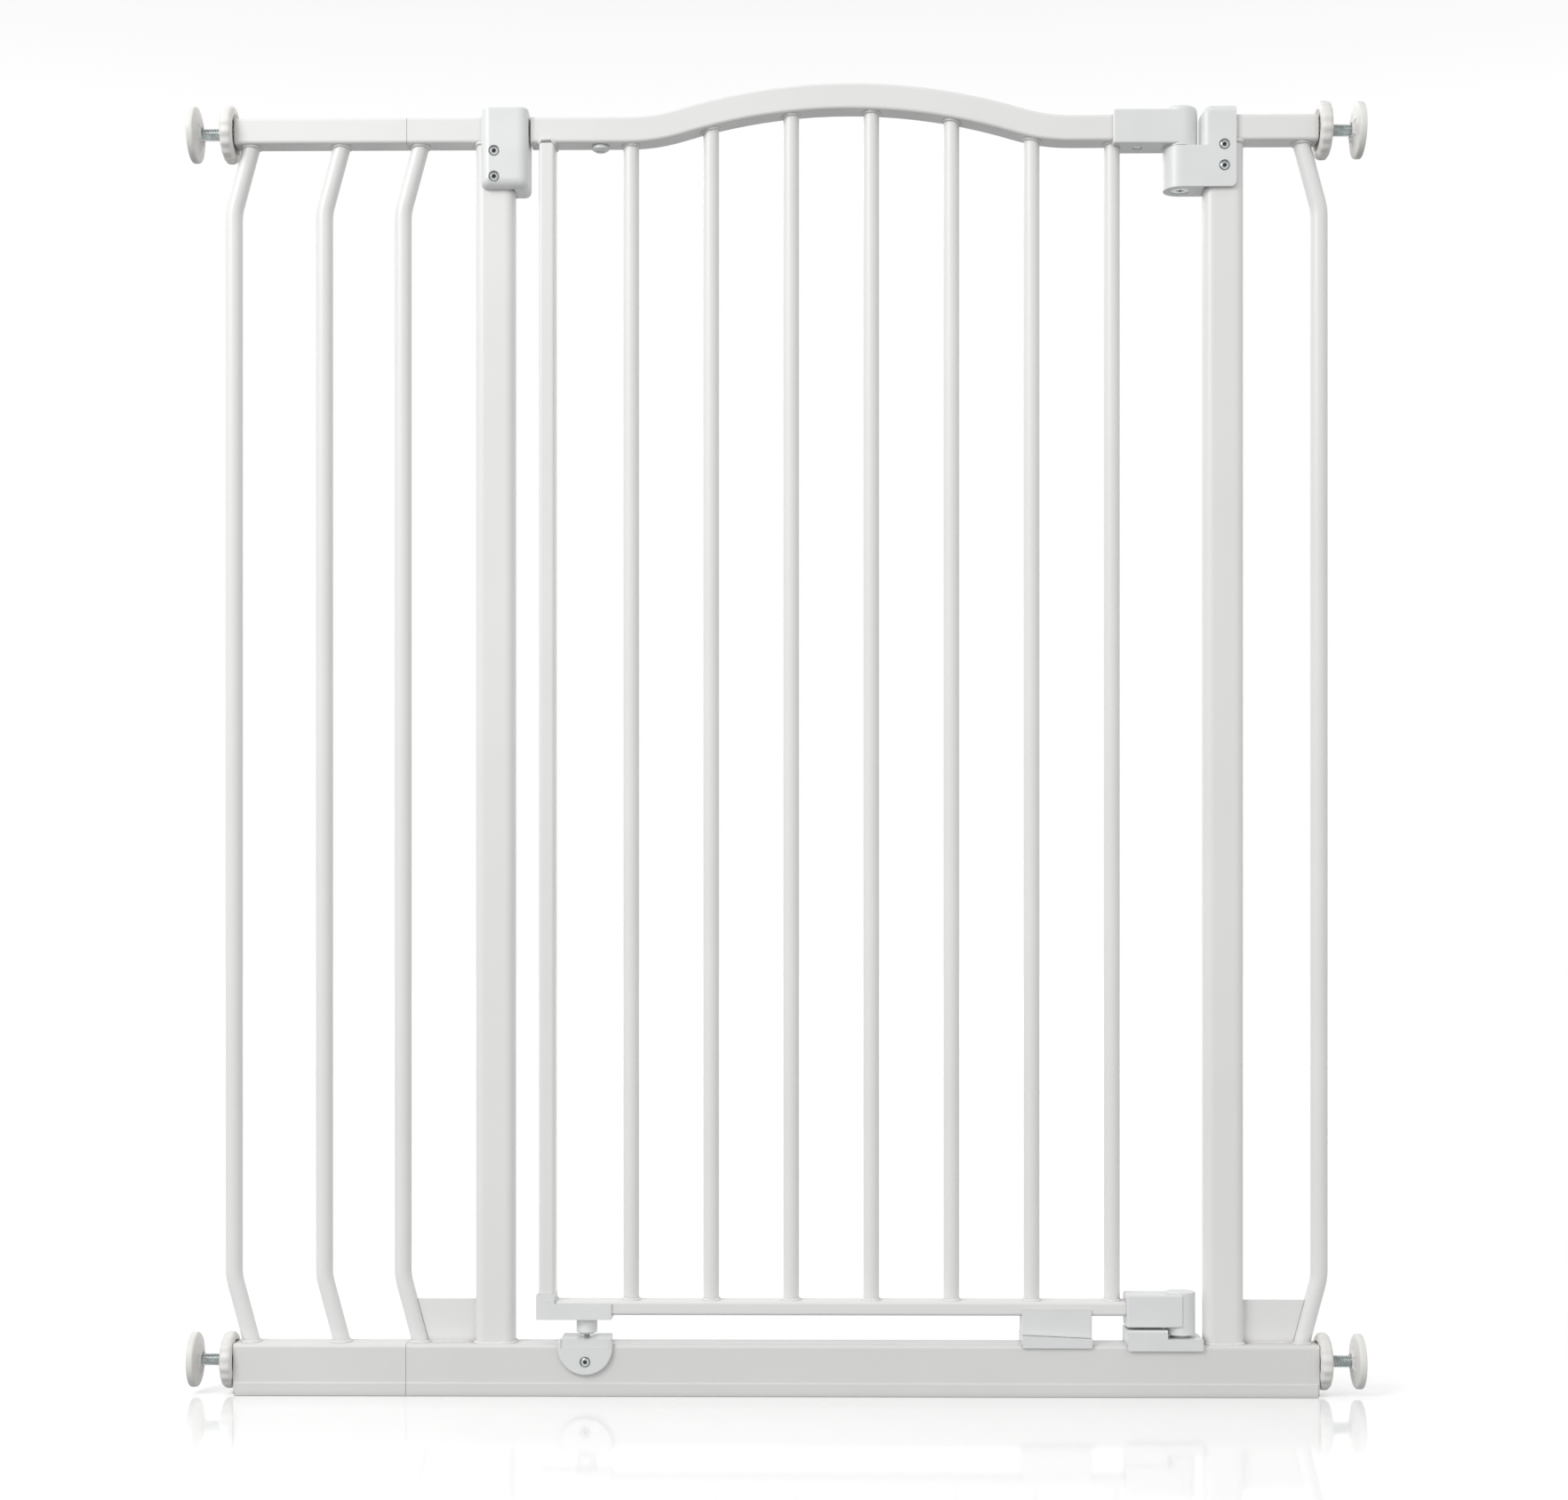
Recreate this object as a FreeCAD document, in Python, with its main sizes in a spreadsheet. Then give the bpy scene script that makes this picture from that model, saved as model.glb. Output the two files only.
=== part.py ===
import FreeCAD, Part
import math
import os
import re
import Sketcher
from FreeCAD import Rotation, Vector

# A tall pressure-fit safety gate for a doorway or hallway: a welded steel frame with one extension
# on its left, a gate panel with an arched top rail hinged on the right, a latch on the left, and
# four threaded wall fixings. Millimetres, +Z up, the front faces -Y, the floor is Z = 0, and the
# origin is under the middle of the overall width.

# ---------------------------------------------------------------------------------- the sizes

SIZES = {
    # top and base rails
    "frame_left": (-281, "where the frame meets its extension"),
    "frame_right": (412, "right end of the frame's rails"),
    "extension_width": (131, "length of the extension's rails"),
    "rail_height": (965, "axis of the top rails"),
    "rail_tube": (20, "side of the square top rail"),
    "rail_corner": (2.5, "outer corner radius of the top rail"),
    "tube_wall": (1.2, "wall of rails, posts and bars"),
    "base_height": (39, "height of the base rail"),
    "base_depth": (28, "depth of the base rail"),
    "base_corner": (3, "radius along the top of the base rail"),
    "base_wall": (1.5, "wall of the base rail"),
    "hem_height": (10, "height of the folded band along the foot"),
    "hem_proud": (0.8, "how far that band stands proud"),
    "sleeve_length": (90, "length of a joiner sleeve"),
    # posts, guard bars and gussets
    "post_width": (30, "post across the doorway"),
    "post_depth": (20, "post front to back"),
    "post_corner": (7, "outer corner radius of a post"),
    "left_post": (-214, "axis of the left post"),
    "right_post": (342, "axis of the right post"),
    "guard_diameter": (13, "bent guard bars"),
    "guard_step": (13.5, "how far the dog leg steps back to the rails"),
    "guard_radius": (40, "bend radius of a guard bar"),
    "guard_lean": (50, "height of the leaning end of a guard bar"),
    "guard_clear": (71.5, "left guard bar to the left post"),
    "guard_proud": (3.5, "outermost guard bars beyond the rail ends"),
    "extension_bar": (65, "inner extension bar to the joint with the frame"),
    "gusset_height": (33, "height of the plates beside the posts"),
    "gusset_thick": (3, "plate thickness"),
    # gate panel
    "gate_clear": (21.5, "gap from base rail to gate panel"),
    "gate_rail": (11, "height of the gate's bottom rail"),
    "stile_width": (12, "latch stile across the doorway"),
    "stile_inset": (12.5, "stile axis from the gate's latch end"),
    "stile_pitch": (64, "stile axis to the first bar"),
    "hinge_pitch": (52, "last bar to the hinge axis"),
    "bar_diameter": (12, "straight gate bars"),
    "arch_radius": (445, "crown of the arched rail, on its axis"),
    "return_radius": (140, "reverse curves beside the crown, on the axis"),
    "arch_rise": (25, "rise of the arch"),
    "arch_shift": (-5, "crown from the middle of the gate"),
    "cap_screw": (32.5, "screw of the upper hinge cap from the hinge axis"),
    # hinges
    "hinge_reach": (17.5, "hinge axis from the post's face"),
    "pin_diameter": (8, "hinge pins"),
    "pin_head": (14, "heads of the hinge pins"),
    "pin_sink": (3, "how deep the pin's head is sunk in the knuckle"),
    "bush_diameter": (12, "outside of the hinge bushes"),
    "knuckle_diameter": (26, "upper hinge knuckles"),
    "knuckle_low": (46, "foot of the fixed knuckle below the rail axis"),
    "knuckle_top": (14.5, "top of the fixed knuckle below the rail axis"),
    "bracket_face": (15, "bracket's upright face from the hinge axis"),
    "bracket_end": (41, "bracket's far end from the hinge axis"),
    "bracket_roof": (16.5, "top of the bracket above the rail axis"),
    "cap_reach": (52.5, "length of the upper hinge cap"),
    "cap_depth": (26, "upper hinge cap front to back"),
    "cap_floor": (3, "upper cap below the rail"),
    "cap_roof": (3.2, "upper cap above the rail"),
    "barrel_roof": (6.5, "top of the upper barrel above the rail"),
    "edge_round": (1.5, "softened edges of the moulded fittings"),
    "bracket_corner": (8, "radius of the bracket's upper corner beside the gate"),
    "foot_barrel": (23, "barrel of the lower hinge"),
    "foot_reach": (42, "length of the lower hinge cap"),
    "foot_depth": (25, "lower hinge cap front to back"),
    "foot_floor": (8.5, "lower cap below the gate's bottom rail"),
    "foot_roof": (5.5, "lower cap above the gate's bottom rail"),
    "barrel_clear": (7, "lower barrel above the base rail"),
    "barrel_top": (39.5, "top of the lower barrel above the base rail"),
    "saddle_gap": (1.5, "lower hinge cap above the high half of the saddle"),
    "saddle_step": (4.8, "low half of the saddle above the base rail"),
    "saddle_end": (15.5, "right end of the saddle from the hinge axis"),
    "saddle_depth": (33, "saddle of the lower hinge front to back"),
    "saddle_lip": (4, "saddle lips below the top of the base rail"),
    "lift": (6, "how far the gate rises on its hinges"),
    # latch
    "strike_reach": (11, "strike housing beyond the post's face"),
    "strike_depth": (36, "strike housing front to back"),
    "strike_wrap": (25, "how far the strike housing wraps the post"),
    "strike_low": (46, "foot of the housing below the rail axis"),
    "strike_corner": (5, "radius of the lower corners of the strike housing"),
    "strike_roof": (15, "top of the housing above the rail axis"),
    "strike_round": (7.5, "radius of the upright edges beside the gate"),
    "latch_gap": (1.2, "gate's latch end to the strike housing"),
    "bolt_height": (7, "nose of the bolt"),
    "nose_length": (17, "nose of the bolt, along its travel"),
    "tail_length": (48, "tail of the bolt, along its travel"),
    "tail_low": (7, "foot of the bolt's tail above the rail's underside"),
    "tail_height": (9, "tail of the bolt"),
    "link_diameter": (3, "cross pin between button and bolt"),
    "link_height": (13, "cross pin above the rail's underside"),
    "fork_wall": (3.2, "thickness of the button's fork"),
    "button_drop": (4, "button below the rail"),
    "spring_diameter": (2.6, "springs over the button's fork"),
    "spring_wire": (0.5, "their wire"),
    "spring_turns": (4, "their turns"),
    "guide_length": (10, "bolt guide, from the gate's latch end"),
    "bolt_depth": (9, "bolt front to back"),
    "bolt_travel": (6, "throw of the bolt"),
    "button_travel": (3, "throw of the release button"),
    "button_diameter": (13, "head of the release button"),
    "button_pitch": (53, "release button from the gate's latch end"),
    # locking foot and stop
    "foot_pitch": (42.5, "height-adjusting foot from the gate's latch end"),
    "knob_diameter": (16, "knob of the foot"),
    "knob_drop": (15, "foot of the knob below the gate"),
    "foot_pin": (5, "threaded pin of the foot"),
    "pin_drop": (17.8, "tip of the pin below the gate"),
    "pin_rise": (6, "top of the pin above the foot of the gate"),
    "shoe_left": (4.4, "corner cap from the gate's latch end"),
    "shoe_length": (58, "length of the corner cap"),
    "shoe_depth": (23, "corner cap front to back"),
    "shoe_floor": (3.3, "corner cap below the gate"),
    "shoe_rise": (9, "front of the corner cap above the foot of the gate"),
    "shoe_corner": (16, "height of the corner cap beside the stile"),
    "catch_wall": (3, "thickness of the catch plate"),
    "catch_gap": (17, "foot of the gate to the top of the catch plate"),
    "catch_notch": (1.1, "depth of the notch that the pin stands in"),
    "notch_width": (13, "width of that notch"),
    "catch_window": (37, "width of the sunk field on the catch plate"),
    "catch_radius": (21, "half-round catch plate"),
    "stop_pitch": (68.5, "near end of the stops from the hinge axis"),
    "stop_depth": (23, "stop block front to back"),
    "stop_low": (4.7, "slanted faces above the base rail at the hinge end"),
    "stop_lip": (2, "lips of the lower stop below the top of the base rail"),
    "stop_wall": (1.8, "lips of the lower stop, thickness"),
    "stop_length": (53, "pair of stop blocks"),
    "stop_slope": (2.4, "fall of the slanted faces between the stops"),
    # wall fixings
    "spindle_height": (25, "axis of the lower wall fixings"),
    "thread_diameter": (9.6, "threaded spindles"),
    "spindle_length": (92, "length of a spindle"),
    "spindle_gap": (16.5, "bare spindle between adjuster and cup"),
    "adjuster_diameter": (44, "hand wheel"),
    "adjuster_thick": (9.5, "hand wheel along its axis"),
    "scallop_radius": (9, "finger scallops around the hand wheel"),
    "scallop_depth": (0.8, "depth of those scallops"),
    "cup_diameter": (42, "wall cup"),
    "cup_thick": (8.5, "wall cup along its axis"),
    "cup_skin": (2, "wall cup's material in front of the spindle"),
    # screws
    "screw_diameter": (4, "shank of the frame screws"),
    "screw_head": (6.6, "head of the frame screws"),
    "screw_sink": (2, "depth of the counterbores"),
    "screw_grip": (9, "length of shank under a screw's head"),
    "strike_screw_inset": (14.5, "strike screws from the post's inner face"),
    "strike_screw_high": (18.5, "upper strike screw below the rail axis"),
    "strike_screw_low": (38, "lower strike screw below the rail axis"),
    "bracket_screw_inset": (14.5, "bracket screws from the post's inner face"),
    "bracket_screw_high": (14, "upper bracket screw below the rail axis"),
    "bracket_screw_low": (30, "lower bracket screw below the rail axis"),
    "catch_screw": (26, "height of the catch plate's screw"),
    # clearances
    "run": (0.05, "radial clearance of a turning or sliding fit"),
    "seat": (0.05, "clearance of a fitting slid over a tube"),
    "weld": (0.1, "gap that a weld bridges"),
    "play": (0.3, "clearance between faces that move past each other"),
}

# Places and sizes that follow from the ones above.
DERIVED = {
    "left_end": "frame_left - extension_width",
    "rail_under": "rail_height - rail_tube / 2",
    "post_top": "rail_under - weld",
    "post_low": "base_height + weld",
    "left_inner": "left_post + post_width / 2",
    "right_inner": "right_post - post_width / 2",
    "strike_face": "left_inner + strike_reach",
    "gate_left": "strike_face + latch_gap",
    "hinge_x": "right_inner - hinge_reach",
    "catch_drop": "catch_screw - base_height + screw_head + screw_diameter",
    "stile_x": "gate_left + stile_inset",
    "first_bar": "stile_x + stile_pitch",
    "last_bar": "hinge_x - hinge_pitch",
    "gate_foot": "base_height + gate_clear",
    "gate_sill": "gate_foot + gate_rail",
    "catch_roof": "gate_clear - catch_gap",
    "saddle_top": "gate_clear - foot_floor - saddle_gap",
    "arch_x": "(gate_left + hinge_x) / 2 + arch_shift",
    "button_x": "gate_left + button_pitch",
    "foot_x": "gate_left + foot_pitch",
    "bush_bore": "pin_diameter / 2 + run",
    "cap_bore": "bush_diameter / 2 + run",
    "half_tube": "rail_tube / 2 + seat",
    "foot_rail_end": "hinge_x - foot_barrel / 2 - barrel_clear",
    "barrel_foot": "rail_tube / 2 - knuckle_top + play",
}

BAR_COUNT = 7
SCALLOPS = 16
WORD = re.compile(r"[a-z]+(?:_[a-z]+)*")

doc = FreeCAD.newDocument("safety_gate")
sheet = doc.addObject("Spreadsheet::Sheet", "dim")
for row, (alias, (value, meaning)) in enumerate(SIZES.items(), start=1):
    sheet.set(f"A{row}", meaning)
    sheet.set(f"B{row}", str(value))
    sheet.setAlias(f"B{row}", alias)
doc.recompute()


def bound(text):
    """The expression with every named size written as a reference to its cell in the sheet."""
    def reference(word):
        name = word.group(0)
        if name in SIZES:
            return "dim." + name
        if name in DERIVED:
            return "(" + bound(DERIVED[name]) + ")"
        return name

    return WORD.sub(reference, str(text))


# ------------------------------------------------------------- bodies, sketches and features


def new_body(name, x="0", y="0", z="0", turn=None):
    """A body with its own label, placed by expressions; turn is an (axis, degrees) pair."""
    body = doc.addObject("PartDesign::Body", name)
    body.Label = name
    if turn:
        body.Placement.Rotation = Rotation(turn[0], turn[1])
    for axis, place in zip("xyz", (x, y, z)):
        body.setExpression(f"Placement.Base.{axis}", bound(place))
    return body


def new_sketch(body, role, offset="0"):
    """A sketch on one of the body's own origin planes, moved along its normal by offset."""
    plane = next(item for item in body.Origin.OriginFeatures if item.Role == role)
    sketch = body.newObject("Sketcher::SketchObject", body.Name + "_sketch")
    sketch.AttachmentSupport = [(plane, "")]
    sketch.MapMode = "FlatFace"
    sketch.setExpression("AttachmentOffset.Base.z", bound(offset))
    return sketch


def fix_point(sketch, edge, end, x, y):
    """Hold one point of a sketch at its own distances from the sketch's origin."""
    start = sketch.getPoint(edge, end)
    for kind, distance, now in (("DistanceX", x, start.x), ("DistanceY", y, start.y)):
        index = sketch.addConstraint(Sketcher.Constraint(kind, -1, 1, edge, end, now))
        sketch.setExpression(f"Constraints[{index}]", bound(distance))


def outline(sketch, corners):
    """A closed outline of straight edges through the corners."""
    first = sketch.GeometryCount
    count = len(corners)
    ring = [Vector(math.cos(2 * math.pi * k / count), math.sin(2 * math.pi * k / count), 0)
            for k in range(count)]
    for k in range(count):
        sketch.addGeometry(Part.LineSegment(ring[k], ring[(k + 1) % count]), False)
    for k in range(count):
        joined = Sketcher.Constraint("Coincident", first + k, 2, first + (k + 1) % count, 1)
        sketch.addConstraint(joined)
    for k, (x, y) in enumerate(corners):
        fix_point(sketch, first + k, 1, x, y)


def rectangle(sketch, x_low, x_high, y_low, y_high):
    outline(sketch, [(x_low, y_low), (x_high, y_low), (x_high, y_high), (x_low, y_high)])


def circle(sketch, x, y, radius):
    index = sketch.addGeometry(Part.Circle(Vector(0, 0, 0), Vector(0, 0, 1), 1.0), False)
    fix_point(sketch, index, 3, x, y)
    size = sketch.addConstraint(Sketcher.Constraint("Radius", index, 1.0))
    sketch.setExpression(f"Constraints[{size}]", bound(radius))


def pad(body, sketch, length, both=False, back=False):
    """Raise the sketch by length, along its normal, against it (back) or half each way (both)."""
    feature = body.newObject("PartDesign::Pad", body.Name + "_pad")
    feature.Profile = sketch
    feature.SideType = "Symmetric" if both else "One side"
    feature.Reversed = back
    feature.setExpression("Length", bound(length))
    return feature


def pocket(body, sketch, length=None, both=False, back=False):
    """Cut the sketch into the body against its normal; back cuts along it, no length goes through."""
    feature = body.newObject("PartDesign::Pocket", body.Name + "_pocket")
    feature.Profile = sketch
    feature.SideType = "Symmetric" if both else "One side"
    feature.Reversed = back
    if length is None:
        feature.Type = "ThroughAll"
    else:
        feature.setExpression("Length", bound(length))
    return feature


def revolve(body, sketch, axis="V_Axis"):
    feature = body.newObject("PartDesign::Revolution", body.Name + "_revolution")
    feature.Profile = sketch
    feature.ReferenceAxis = (sketch, [axis])
    feature.Angle = 360
    return feature


def along(edge, axis):
    """True for a straight edge that runs along the axis: X, Y or Z as 0, 1 or 2."""
    if len(edge.Vertexes) != 2:
        return False
    run = edge.Vertexes[1].Point - edge.Vertexes[0].Point
    return abs(abs(run[axis]) - edge.Length) < 1e-6


def middle(edge):
    return edge.CenterOfMass


def outer(shape, edge, axis):
    """True for an edge along the axis that lies on two outside faces of the shape's box."""
    if not along(edge, axis):
        return False
    box = shape.BoundBox
    low = Vector(box.XMin, box.YMin, box.ZMin)
    high = Vector(box.XMax, box.YMax, box.ZMax)
    point = middle(edge)
    others = [k for k in range(3) if k != axis]
    return all(min(abs(point[k] - low[k]), abs(point[k] - high[k])) < 1e-4 for k in others)


def dress(kind, body, size, wanted):
    """Round or bevel the edges of the body so far for which wanted(shape, edge) holds."""
    doc.recompute()
    base = body.Tip
    names = [f"Edge{k}" for k, edge in enumerate(base.Shape.Edges, start=1)
             if wanted(base.Shape, edge)]
    if not names:
        raise ValueError(f"{body.Label}: no edge to dress")
    feature = body.newObject(f"PartDesign::{kind}", f"{body.Name}_{kind.lower()}")
    feature.Base = (base, names)
    feature.setExpression("Radius" if kind == "Fillet" else "Size", bound(size))
    return feature


def fillet(body, radius, wanted):
    return dress("Fillet", body, radius, wanted)


def chamfer(body, size, wanted):
    return dress("Chamfer", body, size, wanted)


def rounded_rectangle(sketch, wide, high, radius, x="0", y="0"):
    """A rectangle about (x, y) whose corners are tangent arcs."""
    first = sketch.GeometryCount
    turn = math.pi / 2
    flats = [((8, -10), (-8, -10)), ((-10, -8), (-10, 8)), ((-8, 10), (8, 10)), ((10, 8), (10, -8))]
    for start, end in flats:
        sketch.addGeometry(Part.LineSegment(Vector(*start, 0), Vector(*end, 0)), False)
    for k, (across, up) in enumerate([(-8, -8), (-8, 8), (8, 8), (8, -8)]):
        ring = Part.Circle(Vector(across, up, 0), Vector(0, 0, 1), 2)
        begin = (2 * turn, turn, 0, 3 * turn)[k]
        sketch.addGeometry(Part.ArcOfCircle(ring, begin, begin + turn), False)
    for k in range(4):
        arc = first + 4 + k
        sketch.addConstraint(Sketcher.Constraint("Tangent", first + k, 2, arc, 2))
        sketch.addConstraint(Sketcher.Constraint("Tangent", arc, 1, first + (k + 1) % 4, 1))
        size = sketch.addConstraint(Sketcher.Constraint("Radius", arc, 2.0))
        sketch.setExpression(f"Constraints[{size}]", bound(radius))
    for k in (0, 2):
        sketch.addConstraint(Sketcher.Constraint("Horizontal", first + k))
    for k in (1, 3):
        sketch.addConstraint(Sketcher.Constraint("Vertical", first + k))
    sides = (("DistanceY", 0, f"({y}) - ({high}) / 2"), ("DistanceX", 1, f"({x}) - ({wide}) / 2"),
             ("DistanceY", 2, f"({y}) + ({high}) / 2"), ("DistanceX", 3, f"({x}) + ({wide}) / 2"))
    start = {0: -10.0, 1: -10.0, 2: 10.0, 3: 10.0}
    for kind, k, distance in sides:
        index = sketch.addConstraint(Sketcher.Constraint(kind, -1, 1, first + k, 1, start[k]))
        sketch.setExpression(f"Constraints[{index}]", bound(distance))


def tube_profile(sketch, wide, high, wall, radius):
    """The section of a rectangular tube with an even wall."""
    rounded_rectangle(sketch, wide, high, radius)
    rounded_rectangle(sketch, f"({wide}) - 2 * ({wall})", f"({high}) - 2 * ({wall})",
                      f"({radius}) - ({wall})")


def group(name, members):
    """Several separate solids that share one node."""
    compound = doc.addObject("Part::Compound", name)
    compound.Label = name
    compound.Links = members
    return compound


# ---------------------------------------------------------------------- rails of the frame


def top_rail(name, start, length):
    """A square tube that runs along X at the height of the top rails."""
    body = new_body(name, x=start, z="rail_height")
    sketch = new_sketch(body, "YZ_Plane")
    tube_profile(sketch, "rail_tube", "rail_tube", "tube_wall", "rail_corner")
    pad(body, sketch, length)
    return body


def base_rail(name, start, length):
    """The deep foot rail, whose sheet is folded into a proud band along the floor."""
    body = new_body(name, x=start)
    sketch = new_sketch(body, "YZ_Plane")
    side = "base_depth / 2"
    hem = "base_depth / 2 + hem_proud"
    outline(sketch, [
        (f"-({hem})", "0"), (hem, "0"), (hem, "hem_height - hem_proud"), (side, "hem_height"),
        (side, "base_height"), (f"-({side})", "base_height"), (f"-({side})", "hem_height"),
        (f"-({hem})", "hem_height - hem_proud")])
    rectangle(sketch, "base_wall - base_depth / 2", "base_depth / 2 - base_wall",
              "base_wall", "base_height - base_wall")
    pad(body, sketch, length)
    fillet(body, "base_corner",
           lambda shape, edge: along(edge, 0)
           and abs(middle(edge).z - shape.BoundBox.ZMax) < 1e-4)
    return body


extension_top_rail = top_rail("extension_top_rail", "left_end", "extension_width - play")
left_top_rail = top_rail("left_top_rail", "frame_left", "left_inner - frame_left")
right_top_rail = top_rail("right_top_rail", "right_inner", "frame_right - right_inner")

extension_base_rail = base_rail("extension_base_rail", "left_end", "extension_width - play")
main_base_rail = base_rail("base_rail", "frame_left", "frame_right - frame_left")

hinge_pin_hole = new_sketch(main_base_rail, "XY_Plane", "base_height")
circle(hinge_pin_hole, "hinge_x - frame_left", "0", "pin_diameter / 2 + play")
pocket(main_base_rail, hinge_pin_hole, "2 * base_wall")

catch_hole = new_sketch(main_base_rail, "XZ_Plane", "base_depth / 2")
circle(catch_hole, "foot_x - frame_left", "catch_screw", "screw_diameter / 2 + run")
pocket(main_base_rail, catch_hole, "2 * base_wall")


def sleeve(name, wide, high, z):
    """A tube that slides inside the two rails where the extension meets the frame."""
    body = new_body(name, x="frame_left - sleeve_length / 2", z=z)
    sketch = new_sketch(body, "YZ_Plane")
    tube_profile(sketch, wide, high, "base_wall", "2 * base_wall")
    pad(body, sketch, "sleeve_length")
    return body


joiner_sleeves = group("joiner_sleeves", [
    sleeve("top_sleeve", "rail_tube - 2 * tube_wall - 2 * weld",
           "rail_tube - 2 * tube_wall - 2 * weld", "rail_height"),
    sleeve("base_sleeve", "base_depth - 2 * base_wall - 2 * weld",
           "base_height - 2 * base_wall - 2 * weld", "base_height / 2"),
])


def rail_plug(name, side, wide, high, corner, wall, z, bore_height):
    """A moulded plug in a rail's open end, with a bore that lets the spindle through."""
    place = "frame_right" if side > 0 else "left_end"
    body = new_body(name, x=place, z=z, turn=None if side > 0 else (Vector(0, 0, 1), 180))
    flange = new_sketch(body, "YZ_Plane")
    rounded_rectangle(flange, wide, high, corner)
    circle(flange, "0", bore_height, "thread_diameter / 2 + play")
    pad(body, flange, "tube_wall")
    stem = new_sketch(body, "YZ_Plane")
    rounded_rectangle(stem, f"{wide} - 2 * {wall} - 2 * weld", f"{high} - 2 * {wall} - 2 * weld",
                      "tube_wall")
    circle(stem, "0", bore_height, "thread_diameter / 2 + play")
    pad(body, stem, "rail_tube", back=True)
    return body


top_rail_plugs = group("top_rail_plugs", [
    rail_plug("top_left_plug", -1, "rail_tube", "rail_tube", "rail_corner", "tube_wall",
              "rail_height", "0"),
    rail_plug("top_right_plug", 1, "rail_tube", "rail_tube", "rail_corner", "tube_wall",
              "rail_height", "0"),
])
base_rail_plugs = group("base_rail_plugs", [
    rail_plug("base_left_plug", -1, "base_depth", "base_height", "base_corner", "base_wall",
              "base_height / 2", "spindle_height - base_height / 2"),
    rail_plug("base_right_plug", 1, "base_depth", "base_height", "base_corner", "base_wall",
              "base_height / 2", "spindle_height - base_height / 2"),
])

# -------------------------------------------------------- posts, guard bars and gussets


def post(name, x, hole_x, heights):
    """A wide tube beside the doorway, drilled at the front for the screws of its fitting."""
    body = new_body(name, x=x, z="post_low")
    sketch = new_sketch(body, "XY_Plane")
    tube_profile(sketch, "post_width", "post_depth", "tube_wall", "post_corner")
    pad(body, sketch, "post_top - post_low")
    for below in heights:
        hole = new_sketch(body, "XZ_Plane", "post_depth / 2")
        circle(hole, hole_x, f"rail_height - {below} - post_low", "screw_diameter / 2 + run")
        pocket(body, hole, "2 * tube_wall")
    return body


left_post = post("left_post", "left_post", "post_width / 2 - strike_screw_inset",
                 ["strike_screw_high", "strike_screw_low"])
right_post = post("right_post", "right_post", "bracket_screw_inset - post_width / 2",
                  ["bracket_screw_high", "bracket_screw_low"])


def size(name):
    """The number in a sheet cell."""
    return float(sheet.get(name))


def tangent_path(sketch, corners, radii):
    """Straight runs through the corners, joined by tangent arcs; returns the arcs' numbers.

    The corners are numbers that only place the start; the caller's constraints then hold it."""
    runs = []
    arcs = []
    start = corners[0]
    for before, corner, after, radius in zip(corners, corners[1:], corners[2:], radii):
        inward = (before - corner).normalize()
        onward = (after - corner).normalize()
        half = math.acos(inward.dot(onward)) / 2
        reach = radius / math.tan(half)
        centre = corner + (inward + onward).normalize() * (radius / math.sin(half))
        first = corner + inward * reach
        last = corner + onward * reach
        near = centre + (corner - centre).normalize() * radius
        runs.append(sketch.addGeometry(Part.LineSegment(start, first), False))
        arcs.append(sketch.addGeometry(Part.Arc(first, near, last), False))
        flipped = (sketch.getPoint(arcs[-1], 1) - first).Length > 1e-6
        arcs[-1] = (arcs[-1], 2 if flipped else 1)
        start = last
    runs.append(sketch.addGeometry(Part.LineSegment(start, corners[-1]), False))
    for k, (arc, begin) in enumerate(arcs):
        sketch.addConstraint(Sketcher.Constraint("Tangent", runs[k], 2, arc, begin))
        sketch.addConstraint(Sketcher.Constraint("Tangent", arc, 3 - begin, runs[k + 1], 1))
        index = sketch.addConstraint(Sketcher.Constraint("Radius", arc, radii[k]))
        arcs[k] = (arc, index)
    return runs, arcs


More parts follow.
